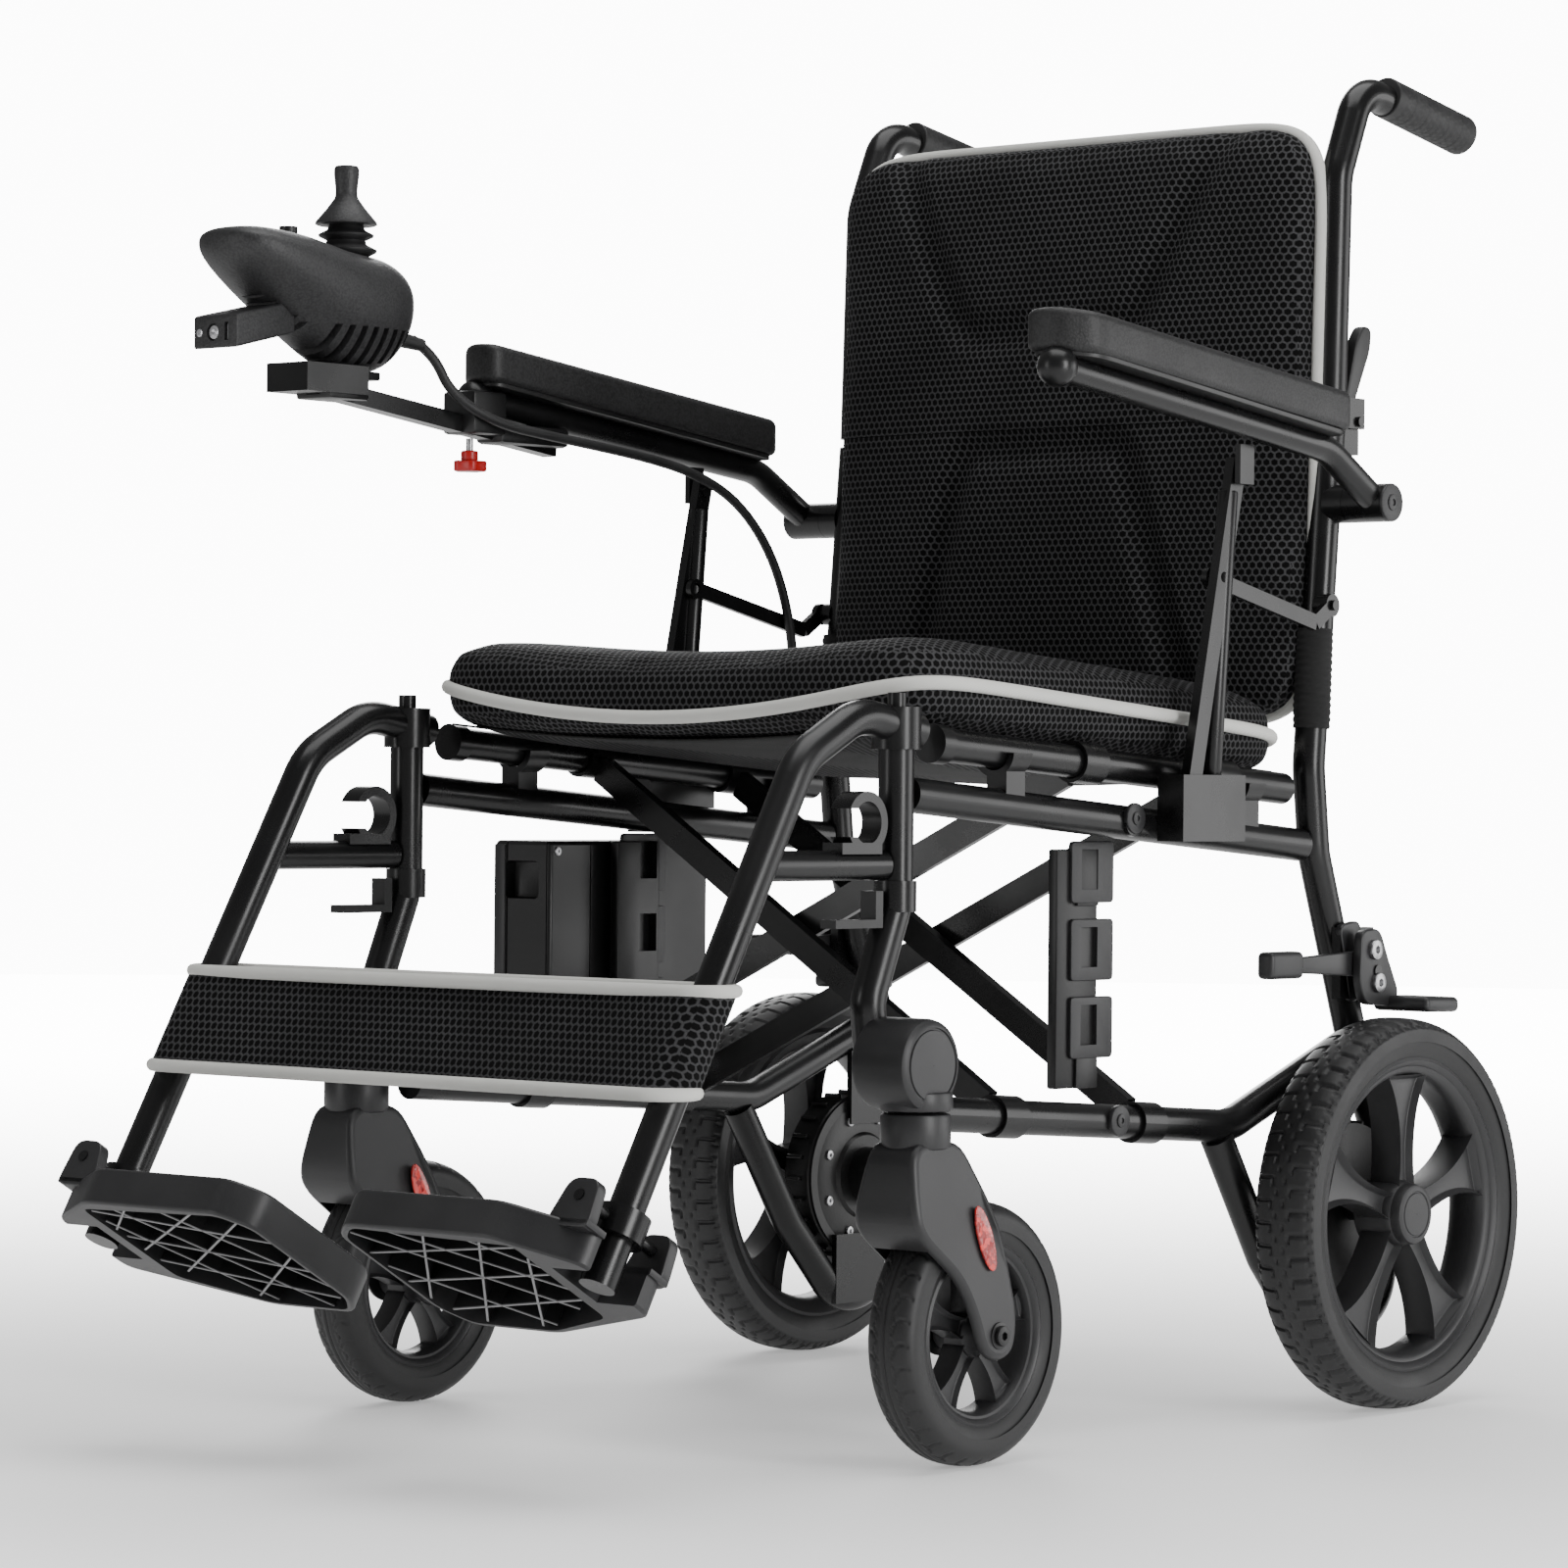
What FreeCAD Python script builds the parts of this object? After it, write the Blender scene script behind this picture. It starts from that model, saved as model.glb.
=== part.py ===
import FreeCAD, Part
import math
import os
import re

import Sketcher

# Folding power wheelchair.  +Z up, the chair faces -Y, its left side is +X.
# The origin lies on the floor, on the plane of symmetry, under the lap of the sitter.
# Each piece of the left side is made once and mirrored to the right side.

doc = FreeCAD.newDocument("power_wheelchair")
sheet = doc.addObject("Spreadsheet::Sheet", "sizes")

SIZES = {
    # side frames
    "tube_rad": 12.7, "frame_x": 241, "post_y": -146, "post_top": 548, "post_knee": 400,
    "post_toe_y": -176, "post_toe_z": 330, "rail_front": -134, "rail_rear": 366,
    "rail_front_z": 476, "rail_drop": 38, "saddle_front": -30,
    "saddle_rear": 266, "saddle_long": 22, "rail_bolt_y": 120, "low_front_z": 251, "low_bend_y": 262,
    "low_end_y": 430, "low_end_z": 284, "bend_rad": 60,
    # back
    "back_y": 392, "hinge_z": 772, "back_foot_y": 368, "back_foot_z": 500,
    "post_mid_y": 376, "post_mid_z": 432, "post_low_y": 440, "post_low_z": 262,
    "loop_end_y": 248, "loop_end_z": 216, "brake_y": 414, "brake_z": 340,
    "cane_top": 1035, "grip_y": 465, "grip_end": 577, "grip_rad": 16.5, "grip_drop": 20,
    # rear wheels and drive
    "axle_y": 402, "wheel_rad": 152.5, "wheel_out": 57, "tyre_wide": 54, "rim_rad": 122,
    "rim_wide": 42, "hub_rad": 27, "shaft_rad": 8, "motor_rad": 68, "motor_in_out": -8,
    "motor_end_out": 21, "fit_gap": 0.05, "spoke_count": 5,
    # casters
    "stem_out": 34, "stem_y": -163, "trail": 60, "caster_rad": 94.3, "caster_wide": 42,
    "caster_rim": 66, "caster_rim_wide": 32, "caster_hub": 17, "fork_gap": 48, "fork_wall": 6,
    "bolt_rad": 6,
    "drum_rad": 33, "drum_z": 287, "drum_y": -170, "drum_start_out": 5, "drum_end_out": 55,
    "caster_spokes": 5,
    # seat
    "seat_out": -3, "seat_front": -94, "seat_rear": 336, "seat_front_z": 512, "seat_drop": 29.3,
    "brace_lean": 80, "brace_shift": 17, "sleeve_wall": 3, "brace_front_y": -20,
    "brace_rear_y": 150, "bar_wide": 22, "bar_thick": 8,
    "cushion_out": -15, "cushion_front": -124, "cushion_rear": 338,
    "cushion_high": 42, "back_low": 560, "back_top": 988, "back_thick": 40,
    # arms
    "arm_out": 47, "arm_rad": 11, "arm_pivot_y": 388, "arm_pivot_z": 706, "arm_front": -24,
    "arm_front_z": 785, "arm_knee_y": 318, "arm_knee_z": 745, "pad_front": -32,
    "pad_rear": 320, "pad_wide": 54, "pad_high": 30, "boss_rad": 15,
    "hole_y": 226, "hole_z": 722, "link_y": 370, "link_z": 626, "pin_rad": 4, "pivot_rad": 6,
    "socket_y": 150, "socket_long": 80,
    # front
    "hang_start_z": 521, "hang_top_y": -190, "hang_top_z": 532,
    "hang_knee_y": -252, "hang_knee_z": 500, "hang_foot_y": -457, "hang_foot_z": 148,
    "latch_z": 404, "plate_wide": 200, "plate_fore": 68, "plate_aft": 88,
    "plate_thick": 28, "pivot_high": 45, "strap_top": 344, "strap_low": 272,
    # drive pack and control
    "pack_front": 5, "pack_rear": 195, "pack_start_out": -11, "pack_end_out": 49, "pack_low": 259,
    "pack_top": 436, "pack_step": 28, "dock_y": 68, "dock_long": 66, "dock_out": -27,
    "dock_thick": 12, "dock_low": 258, "latch_gap": 58,
    "case_out": 49, "case_front": -322, "case_rear": -92, "case_low": 800, "case_top": 898,
    "case_wide": 92, "stick_y": -168, "stick_top": 955, "rail_side": 14, "tilt_low": 18,
}
# places across the chair, each a set distance outside the plane of its side frame
ACROSS = {
    "arm_x": "frame_x + arm_out", "wheel_x": "frame_x + wheel_out",
    "stem_x": "frame_x + stem_out", "seat_x": "frame_x + seat_out",
    "motor_in": "frame_x + motor_in_out", "motor_out": "frame_x + motor_end_out",
    "drum_in": "frame_x + drum_start_out", "drum_out": "frame_x + drum_end_out",
    "cushion_x": "frame_x + cushion_out", "pack_in": "frame_x + pack_start_out",
    "pack_out": "frame_x + pack_end_out", "dock_in": "frame_x + dock_out",
    "case_x": "frame_x + case_out"
}
for row, (alias, number) in enumerate(SIZES.items(), 1):
    sheet.set("A%d" % row, alias)
    sheet.set("B%d" % row, str(number))
    sheet.setAlias("B%d" % row, alias)
doc.recompute()


def cell(alias):
    """The number that the sheet holds under this alias, or the sum that makes it up."""
    if alias in ACROSS:
        return sum(cell(part) for part in ACROSS[alias].split(" + "))
    return float(sheet.get(alias))


WORDS = ("sin", "cos", "tan", "atan", "sqrt")
nodes = []
left_nodes = []


def bind(item, **sizes):
    """Binds properties of an object to sums of sheet cells."""
    for prop, text in sizes.items():
        text = re.sub(r"\b[a-z]\w*", lambda w: "(%s)" % ACROSS[w[0]] if w[0] in ACROSS else w[0],
                      str(text))
        words = re.sub(r"\b[a-z]\w*", lambda w: w[0] if w[0] in WORDS else "sizes." + w[0], text)
        item.setExpression(prop.replace("__", "."), words)
    return item


def add(kind, name, at=("0", "0", "0"), turn=None, **sizes):
    """A primitive whose corner or base centre lies at the three sums in `at`."""
    item = doc.addObject("Part::" + kind, name)
    if turn:
        item.Placement.Rotation = FreeCAD.Rotation(FreeCAD.Vector(*turn[:3]), turn[3])
    bind(item, **sizes)
    for axis, text in zip("xyz", at):
        bind(item, **{"Placement__Base__" + axis: text})
    return item


ALONG_X = (0, 1, 0, 90)
ALONG_Y = (1, 0, 0, -90)


def rod(name, x, y, z, radius, length):
    """A cylinder along +X."""
    return add("Cylinder", name, (x, y, z), ALONG_X, Radius=radius, Height=length)


def block(name, x, y, z, long_x, long_y, long_z):
    return add("Box", name, (x, y, z), None, Length=long_x, Width=long_y, Height=long_z)


def fuse(name, *items):
    whole = doc.addObject("Part::MultiFuse", name)
    whole.Shapes = list(items)
    return whole


def cut(name, base, *tools):
    whole = doc.addObject("Part::Cut", name)
    whole.Base = base
    whole.Tool = tools[0] if len(tools) == 1 else fuse(name + "_tools", *tools)
    return whole


def node(item, label, left=False):
    """Names a finished sub-part; one of the left side gets a mirrored twin."""
    item.Label = label
    nodes.append(item)
    if left:
        left_nodes.append(item)
    return item


def bent_path(name, points, radius):
    """Straight runs joined by tangent arcs, in the YZ plane or in space."""
    points = [FreeCAD.Vector(*p) for p in points]
    radii = radius if isinstance(radius, list) else [radius] * (len(points) - 2)
    edges = []
    start = points[0]
    for before, corner, after, bend in zip(points, points[1:], points[2:], radii):
        go = (corner - before).normalize()
        leave = (after - corner).normalize()
        half = go.getAngle(leave) / 2
        back = bend * math.tan(half)
        first = corner - go * back
        last = corner + leave * back
        inward = (leave - go).normalize()
        middle = corner + inward * (bend / math.cos(half) - bend)
        edges.append(Part.LineSegment(start, first).toShape())
        edges.append(Part.Arc(first, middle, last).toShape())
        start = last
    edges.append(Part.LineSegment(start, points[-1]).toShape())
    path = doc.addObject("Part::Feature", name)
    path.Shape = Part.Wire(edges)
    return path


def tube(name, points, radius, bend="bend_rad"):
    """A round bar swept along a bent path; its radius is bound to the sheet."""
    bends = [cell(b) if isinstance(b, str) else b for b in bend] if isinstance(bend, list) \
        else cell(bend)
    spine = bent_path(name + "_path", points, bends)
    ring = bind(doc.addObject("Part::Circle", name + "_ring"), Radius=radius)
    way = FreeCAD.Vector(*points[1]) - FreeCAD.Vector(*points[0])
    ring.Placement = FreeCAD.Placement(FreeCAD.Vector(*points[0]),
                                       FreeCAD.Rotation(FreeCAD.Vector(0, 0, 1), way))
    bar = doc.addObject("Part::Sweep", name)
    bar.Sections = [ring]
    bar.Spine = (spine, ["Edge%d" % (k + 1) for k in range(len(spine.Shape.Edges))])
    bar.Solid = True
    bar.Frenet = False
    return bar


def body(name):
    return doc.addObject("PartDesign::Body", name)


def sketch(owner, name, role, offset=None):
    """A sketch on one of the origin planes of its own body."""
    plane = [f for f in owner.Origin.OriginFeatures if f.Role == role][0]
    drawing = owner.newObject("Sketcher::SketchObject", name)
    drawing.AttachmentSupport = [(plane, "")]
    drawing.MapMode = "FlatFace"
    if offset:
        bind(drawing, AttachmentOffset__Base__z=offset)
    return drawing


def outline(drawing, points):
    """A closed outline; its sides run from point to point."""
    count = len(points)
    points = [FreeCAD.Vector(p[0], p[1], 0) for p in points]
    for here, there in zip(points, points[1:] + points[:1]):
        drawing.addGeometry(Part.LineSegment(here, there), False)
    for k in range(count):
        drawing.addConstraint(Sketcher.Constraint("Coincident", k, 2, (k + 1) % count, 1))


def pin_point(drawing, edge, x, y):
    """Ties the start of an edge of the sketch to two sums of cells."""
    for kind, text in (("DistanceX", x), ("DistanceY", y)):
        index = drawing.addConstraint(Sketcher.Constraint(kind, -1, 1, edge, 1, 1.0))
        value = getattr(drawing.Geometry[edge].StartPoint, kind[-1].lower())
        drawing.setDatum(index, FreeCAD.Units.Quantity("%f mm" % value))
        bind(drawing, **{"Constraints[%d]" % index: text})


def drawn(drawing, corners):
    """An outline whose corners are (number, sum of cells) pairs for each axis."""
    outline(drawing, [(x[0], y[0]) for x, y in corners])
    for edge, (x, y) in enumerate(corners):
        pin_point(drawing, edge, x[1], y[1])


# ---- levels along the sloping rails -------------------------------------------------
def rail_z(y):
    """Height of the upper side rail's centre line."""
    slope = cell("rail_drop") / (cell("rail_rear") - cell("rail_front"))
    return cell("rail_front_z") - slope * (y - cell("rail_front"))


def rake():
    """Downward slope to the rear that the seat rails, lower rails and fold axes share."""
    return cell("seat_drop") / (cell("seat_rear") - cell("seat_front"))


def seat_z(y):
    """Height of the seat rail's centre line."""
    return cell("seat_front_z") - rake() * (y - cell("seat_front"))


def low_z(y):
    """Height of the lower side rail's centre line."""
    return cell("low_front_z") - rake() * (y - cell("post_y"))


frame_x = cell("frame_x")


def front_post():
    bar = tube("post_bar", [(frame_x, cell("post_y"), cell("post_top") - 12),
                            (frame_x, cell("post_y"), cell("post_knee")),
                            (frame_x, cell("post_toe_y"), cell("post_toe_z")),
                            (frame_x, cell("drum_y"), cell("drum_z"))],
               "tube_rad", ["bend_rad", 25])
    pin = add("Cylinder", "post_pin", ("frame_x", "post_y", "post_top - 12"), None,
              Radius="tube_rad - 6", Height="12")
    ring = add("Cylinder", "latch_ring", ("frame_x", "post_y", "latch_z - 11"), None,
               Radius="tube_rad + 2.5", Height="22")
    node(fuse("front_post", bar, pin, ring), "front_post_left", True)


def upper_rail():
    """Upper side rail with the two saddles that the seat rail drops into and its pivot bolt."""
    front = (frame_x, cell("rail_front"), rail_z(cell("rail_front")))
    rear = (frame_x, cell("rail_rear") - 10, rail_z(cell("rail_rear") - 10))
    way = FreeCAD.Vector(*rear) - FreeCAD.Vector(*front)
    bar = bind(doc.addObject("Part::Cylinder", "rail_bar"), Radius="tube_rad",
               Height="sqrt((rail_rear - 10 - rail_front)^2 + rail_drop^2)")
    bar.Placement = FreeCAD.Placement(FreeCAD.Vector(*front),
                                      FreeCAD.Rotation(FreeCAD.Vector(0, 0, 1), way))
    parts = [bar]
    mouths = []
    for k, place in enumerate(("saddle_front", "saddle_rear")):
        y = cell(place)
        high = seat_z(y) - rail_z(y)
        web = add("Box", "saddle_web%d" % k, ("frame_x - 9", place, str(rail_z(y))), None,
                  Length="18", Width="saddle_long", Height=str(high - 10))
        cup = add("Cylinder", "saddle_cup%d" % k, ("seat_x", place, str(seat_z(y))), ALONG_Y,
                  Radius="tube_rad + 6", Height="saddle_long")
        parts.append(fuse("saddle%d" % k, web, cup))
        mouths.append(add("Box", "saddle_mouth%d" % k, ("seat_x - tube_rad - 10", place + " - 30",
                                                        str(seat_z(y) - 1)),
                          None, Length="2 * tube_rad + 30", Width="120", Height="60"))
    room_y = cell("seat_front") - 40
    rail_room = add("Cylinder", "rail_room", ("seat_x", str(room_y), str(seat_z(room_y))),
                    None, Radius="tube_rad + 1", Height="600")
    rail_room.Placement.Rotation = FreeCAD.Rotation(
        FreeCAD.Vector(0, 0, 1), FreeCAD.Vector(0, cell("seat_rear") - cell("seat_front"),
                                                -cell("seat_drop")))
    bolt = rod("rail_bolt", "frame_x + tube_rad - 2", "rail_bolt_y",
               str(rail_z(cell("rail_bolt_y"))), "11", "4")
    whole = cut("rail_cut", fuse("rail_whole", bolt, *parts), rail_room, *mouths)
    node(fuse("upper_rail", whole, arm_socket()), "upper_rail_left", True)


def arm_socket():
    """Box on the side rail that the armrest post drops into."""
    y = cell("socket_y")
    shell = block("socket_shell", "frame_x + tube_rad + 0.3", "socket_y",
                  str(rail_z(y) - 12), "24", "socket_long", "50")
    hole = block("socket_hole", "frame_x + tube_rad + 4", "socket_y + 8", str(rail_z(y) + 2),
                 "17", "socket_long - 30", "60")
    return cut("arm_socket", shell, hole)


def lower_rail():
    start = cell("drum_y") + cell("drum_rad") - 3
    bar = tube("low_bar", [(frame_x, start, low_z(start)),
                           (frame_x, cell("low_bend_y"), low_z(cell("low_bend_y"))),
                           (frame_x, cell("low_end_y"), cell("low_end_z"))], "tube_rad")
    bolt = rod("low_bolt", "frame_x + tube_rad - 2", "104", str(low_z(104)), "11", "4")
    node(fuse("lower_rail", bar, bolt), "lower_rail_left", True)


def rear_post():
    """Rear upright: from the back hinge down, then looped round the motor."""
    axle_y = cell("axle_y")
    axle_z = cell("wheel_rad")
    points = [(frame_x, cell("back_y"), cell("hinge_z") - 6),
              (frame_x, cell("back_foot_y"), cell("back_foot_z")),
              (frame_x, cell("post_mid_y"), cell("post_mid_z")),
              (frame_x, cell("post_low_y"), cell("post_low_z")),
              (frame_x, axle_y + 90, axle_z + 10), (frame_x, axle_y + 66, axle_z - 82),
              (frame_x, axle_y - 20, axle_z - 108), (frame_x, axle_y - 90, axle_z - 34),
              (frame_x, cell("loop_end_y"), cell("loop_end_z"))]
    bar = tube("rear_bar", points, "tube_rad", [60, 60, 60, 40, 40, 45, 40])
    knuckle = rod("knuckle", "frame_x - 9", "back_y + 22", "hinge_z", "8", "18")
    hinge_pin = rod("hinge_pin", "frame_x - 16", "back_y + 22", "hinge_z", "pin_rad", "32")
    web = block("knuckle_web", "frame_x - 9", "back_y", "hinge_z - 26", "18", "28", "20")
    lug = rod("arm_lug", "frame_x + 6", "arm_pivot_y", "arm_pivot_z", "boss_rad", "18")
    arm_pin = rod("arm_pin", "frame_x + 6", "arm_pivot_y", "arm_pivot_z", "pivot_rad", "36")
    link_lug = rod("link_lug", "frame_x + 4", "link_y + 4", "link_z", "9", "11")
    link_pin = rod("link_pin", "frame_x + 4", "link_y", "link_z", "pin_rad", "19")
    plates = [block("plate%d" % k, "motor_in - 5", y, z, "5", "64", high) for k, (y, z, high) in
              enumerate((("axle_y - 22", "wheel_rad + 44", "62"),
                         ("axle_y - 40", "wheel_rad - 106", "58")))]
    clamp = block("brake_clamp", "frame_x + 10", "brake_y - 26", "brake_z - 22", "8", "46", "56")
    brake_pin = rod("brake_pin", "frame_x + 17", "brake_y", "brake_z", "5", "20")
    node(fuse("rear_post", bar, knuckle, hinge_pin, web, lug, arm_pin, link_lug, link_pin,
              clamp, brake_pin, *plates), "rear_post_left", True)


def battery_dock():
    """Upright plate with three latch windows, bolted between the side rails."""
    plate = block("dock_plate", "dock_in", "dock_y", "dock_low", "dock_thick", "dock_long",
                  "pack_top - dock_low")
    windows = [block("dock_window%d" % k, "dock_in - 1", "dock_y + 24",
                     "dock_low + 28 + latch_gap * %d" % k, "dock_thick + 2", "20", "34")
               for k in range(3)]
    node(cut("battery_dock", plate, *windows), "battery_dock_left", True)


def caster_housing():
    """Drum at the foot of the front post; the fork stem turns in it."""
    drum = rod("drum", "drum_in", "drum_y", "drum_z", "drum_rad", "drum_out - drum_in")
    bore = add("Cylinder", "drum_bore", ("stem_x", "stem_y", "drum_z - drum_rad - 5"), None,
               Radius="bolt_rad + fit_gap", Height="drum_rad + 15")
    flat = block("drum_flat", "drum_in - 1", "drum_y - drum_rad - 1",
                 "drum_z - drum_rad - 1", "80", "2 * drum_rad + 2", "3")
    node(cut("caster_housing", drum, bore, flat), "caster_housing_left", True)


def caster_fork():
    """Fork with a closed crown, legs that trail back, the stem and the wheel bolt."""
    top = cell("drum_z") - cell("drum_rad") - 20
    y = cell("stem_y")
    wheel_y = y + cell("trail")
    wheel_z = cell("caster_rad")
    piece = body("fork_body")
    side = sketch(piece, "fork_side", "YZ_Plane", None)
    corners = [((y - 20, "stem_y - 20"), (top, "drum_z - drum_rad - 20")),
               ((y + 24, "stem_y + 24"), (top, "drum_z - drum_rad - 20")),
               ((y + 36, "stem_y + 36"), (top - 14, "drum_z - drum_rad - 34")),
               ((wheel_y + 2, "stem_y + trail + 2"), (wheel_z + 84, "caster_rad + 84")),
               ((wheel_y + 18, "stem_y + trail + 18"), (wheel_z + 6, "caster_rad + 6")),
               ((wheel_y + 10, "stem_y + trail + 10"), (wheel_z - 14, "caster_rad - 14")),
               ((wheel_y - 10, "stem_y + trail - 10"), (wheel_z - 14, "caster_rad - 14")),
               ((wheel_y - 18, "stem_y + trail - 18"), (wheel_z + 4, "caster_rad + 4")),
               ((y - 24, "stem_y - 24"), (top - 40, "drum_z - drum_rad - 60"))]
    drawn(side, corners)
    pad = piece.newObject("PartDesign::Pad", "fork_pad")
    pad.Profile = side
    pad.Midplane = True
    bind(pad, Length="fork_gap + 2 * fork_wall")
    shell = doc.addObject("Part::Compound", "fork_shell")
    shell.Links = [piece]
    bind(shell, Placement__Base__x="stem_x")
    room = rod("fork_room", "stem_x - fork_gap / 2", "stem_y + trail", "caster_rad",
               "caster_rad + 4", "fork_gap")
    stem = add("Cylinder", "fork_stem", ("stem_x", "stem_y", "drum_z - drum_rad - 6"), None,
               Radius="bolt_rad", Height="drum_rad + 14")
    collar = add("Cylinder", "fork_collar", ("stem_x", "stem_y", "drum_z - drum_rad - 22"), None,
                 Radius="20", Height="23.5")
    bolt = rod("fork_bolt", "stem_x - fork_gap / 2 - fork_wall - 3", "stem_y + trail",
               "caster_rad", "bolt_rad", "fork_gap + 2 * fork_wall + 6")
    node(fuse("caster_fork", cut("fork_cut", shell, room), collar, stem, bolt), "caster_fork_left", True)


def wheel_windows(piece, count, inner, outer, gap_in, gap_out, deep):
    """Windows between the spokes: one pocket through the web, patterned round the axis."""
    window = sketch(piece, piece.Name + "_window", "YZ_Plane", None)
    points = [(inner, -gap_in), (outer, -gap_out), (outer, gap_out), (inner, gap_in)]
    outline(window, points)
    pocket = piece.newObject("PartDesign::Pocket", piece.Name + "_pocket")
    pocket.Profile = window
    pocket.Midplane = True
    pocket.Length = deep
    doc.recompute()
    pattern = piece.newObject("PartDesign::PolarPattern", piece.Name + "_pattern")
    pattern.Originals = [pocket]
    axis = [f for f in piece.Origin.OriginFeatures if f.Role == "X_Axis"][0]
    pattern.Axis = (axis, [""])
    pattern.Angle = 360
    bind(pattern, Occurrences=count)
    piece.Tip = pattern


def spun(piece, name, corners):
    """A solid of revolution about X; corners are (x, radius) pairs of (number, sum)."""
    profile = sketch(piece, name, "XZ_Plane", None)
    drawn(profile, corners)
    spin = piece.newObject("PartDesign::Revolution", name + "_spin")
    spin.Profile = profile
    spin.ReferenceAxis = ([f for f in piece.Origin.OriginFeatures if f.Role == "X_Axis"][0],
                          [""])
    spin.Angle = 360
    doc.recompute()
    return spin


def pair(number, text):
    return (number, text)


def wheel(name, rim, wide, hub, bore, web, lip, count):
    """Spoked wheel about the X axis: rim with flanges, web with windows, bored hub."""
    half = cell(wide) / 2
    rim_r = cell(rim)
    piece = body(name)
    spun(piece, name + "_section", [
        (pair(-half, "-%s / 2" % wide), pair(cell(bore) + cell("fit_gap"), bore + " + fit_gap")),
        (pair(half, "%s / 2" % wide), pair(cell(bore) + cell("fit_gap"), bore + " + fit_gap")),
        (pair(half, "%s / 2" % wide), pair(cell(hub), hub)),
        (pair(web, "%g" % web), pair(cell(hub) + 4, hub + " + 4")),
        (pair(web, "%g" % web), pair(rim_r - lip, "%s - %g" % (rim, lip))),
        (pair(half, "%s / 2" % wide), pair(rim_r - 6, rim + " - 6")),
        (pair(half, "%s / 2" % wide), pair(rim_r, rim)),
        (pair(-half, "-%s / 2" % wide), pair(rim_r, rim)),
        (pair(-half, "-%s / 2" % wide), pair(rim_r - 6, rim + " - 6")),
        (pair(-web, "-%g" % web), pair(rim_r - lip, "%s - %g" % (rim, lip))),
        (pair(-web, "-%g" % web), pair(cell(hub) + 4, hub + " + 4")),
        (pair(-half, "-%s / 2" % wide), pair(cell(hub), hub))])
    inner = cell(hub) + 9
    outer = rim_r - lip - 5
    wheel_windows(piece, count, inner, outer, inner * 0.40, outer * 0.52, 8 * web)
    return piece


def placed(piece, label, x, y, z):
    """Moves a finished body to its place and names it."""
    holder = doc.addObject("Part::Compound", label + "_solid")
    holder.Links = [piece]
    bind(holder, Placement__Base__x=x, Placement__Base__y=y, Placement__Base__z=z)
    return node(holder, label + "_left", True)


def tyre(name, radius, wide, rim, rim_wide):
    """Tyre with a rounded crown that sits on the rim."""
    ring = add("Cylinder", name + "_disc", ("0", "0", "0"), ALONG_X, Radius=radius, Height=wide)
    bind(ring, Placement__Base__x="-%s / 2" % wide)
    round_edge = doc.addObject("Part::Fillet", name + "_round")
    round_edge.Base = ring
    doc.recompute()
    crown = cell(wide) * 0.42
    circles = [k + 1 for k, edge in enumerate(ring.Shape.Edges)
               if isinstance(edge.Curve, Part.Circle)]
    round_edge.Edges = [(k, crown, crown) for k in circles]
    seat = add("Cylinder", name + "_seat", ("-%s / 2 - 1" % wide, "0", "0"), ALONG_X,
               Radius=rim, Height=wide + " + 2")
    return cut(name, round_edge, seat)


def wheels():
    rear = wheel("rear_rim", "rim_rad", "rim_wide", "hub_rad", "shaft_rad", 7, 14, "spoke_count")
    placed(rear, "rear_wheel", "wheel_x", "axle_y", "wheel_rad")
    placed(tyre("rear_tyre_ring", "wheel_rad", "tyre_wide", "rim_rad", "rim_wide"), "rear_tyre",
           "wheel_x", "axle_y", "wheel_rad")
    front = wheel("caster_rim_body", "caster_rim", "caster_rim_wide", "caster_hub", "bolt_rad",
                  5, 10, "caster_spokes")
    placed(front, "caster_wheel", "stem_x", "stem_y + trail", "caster_rad")
    placed(tyre("caster_tyre_ring", "caster_rad", "caster_wide", "caster_rim", "caster_wide"),
           "caster_tyre", "stem_x", "stem_y + trail", "caster_rad")


def motor():
    """Flat drive motor inboard of the wheel, with the shaft that carries the wheel."""
    can = rod("motor_can", "motor_in", "axle_y", "wheel_rad", "motor_rad", "motor_out - motor_in")
    boss = rod("motor_boss", "motor_in - 22", "axle_y", "wheel_rad", "24", "24")
    shaft = rod("motor_shaft", "motor_out - 2", "axle_y", "wheel_rad", "shaft_rad",
                "wheel_x + rim_wide / 2 + 6 - motor_out")
    node(fuse("motor", can, boss, shaft), "motor_left", True)


def brake():
    """Parking brake: a lever on the rear post carries the shoe over the tyre."""
    hub = rod("lever_hub", "frame_x + 19", "brake_y", "brake_z", "12", "8")
    bore = rod("lever_bore", "frame_x + 17", "brake_y", "brake_z", "5 + fit_gap", "12")
    arm = block("lever_arm", "frame_x + 19", "brake_y - 114", "brake_z - 2", "8", "112", "12")
    paddle = block("lever_paddle", "frame_x + 16", "brake_y - 138", "brake_z - 6", "14", "42", "24")
    shank = block("shoe_shank", "frame_x + 19", "brake_y", "brake_z - 18", "8", "40", "18")
    shoe = block("shoe", "frame_x + 19", "brake_y + 18", "brake_z - 32", "54", "46", "14")
    node(cut("brake_lever", fuse("lever_whole", hub, arm, paddle, shank, shoe), bore),
         "brake_lever_left", True)


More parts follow.
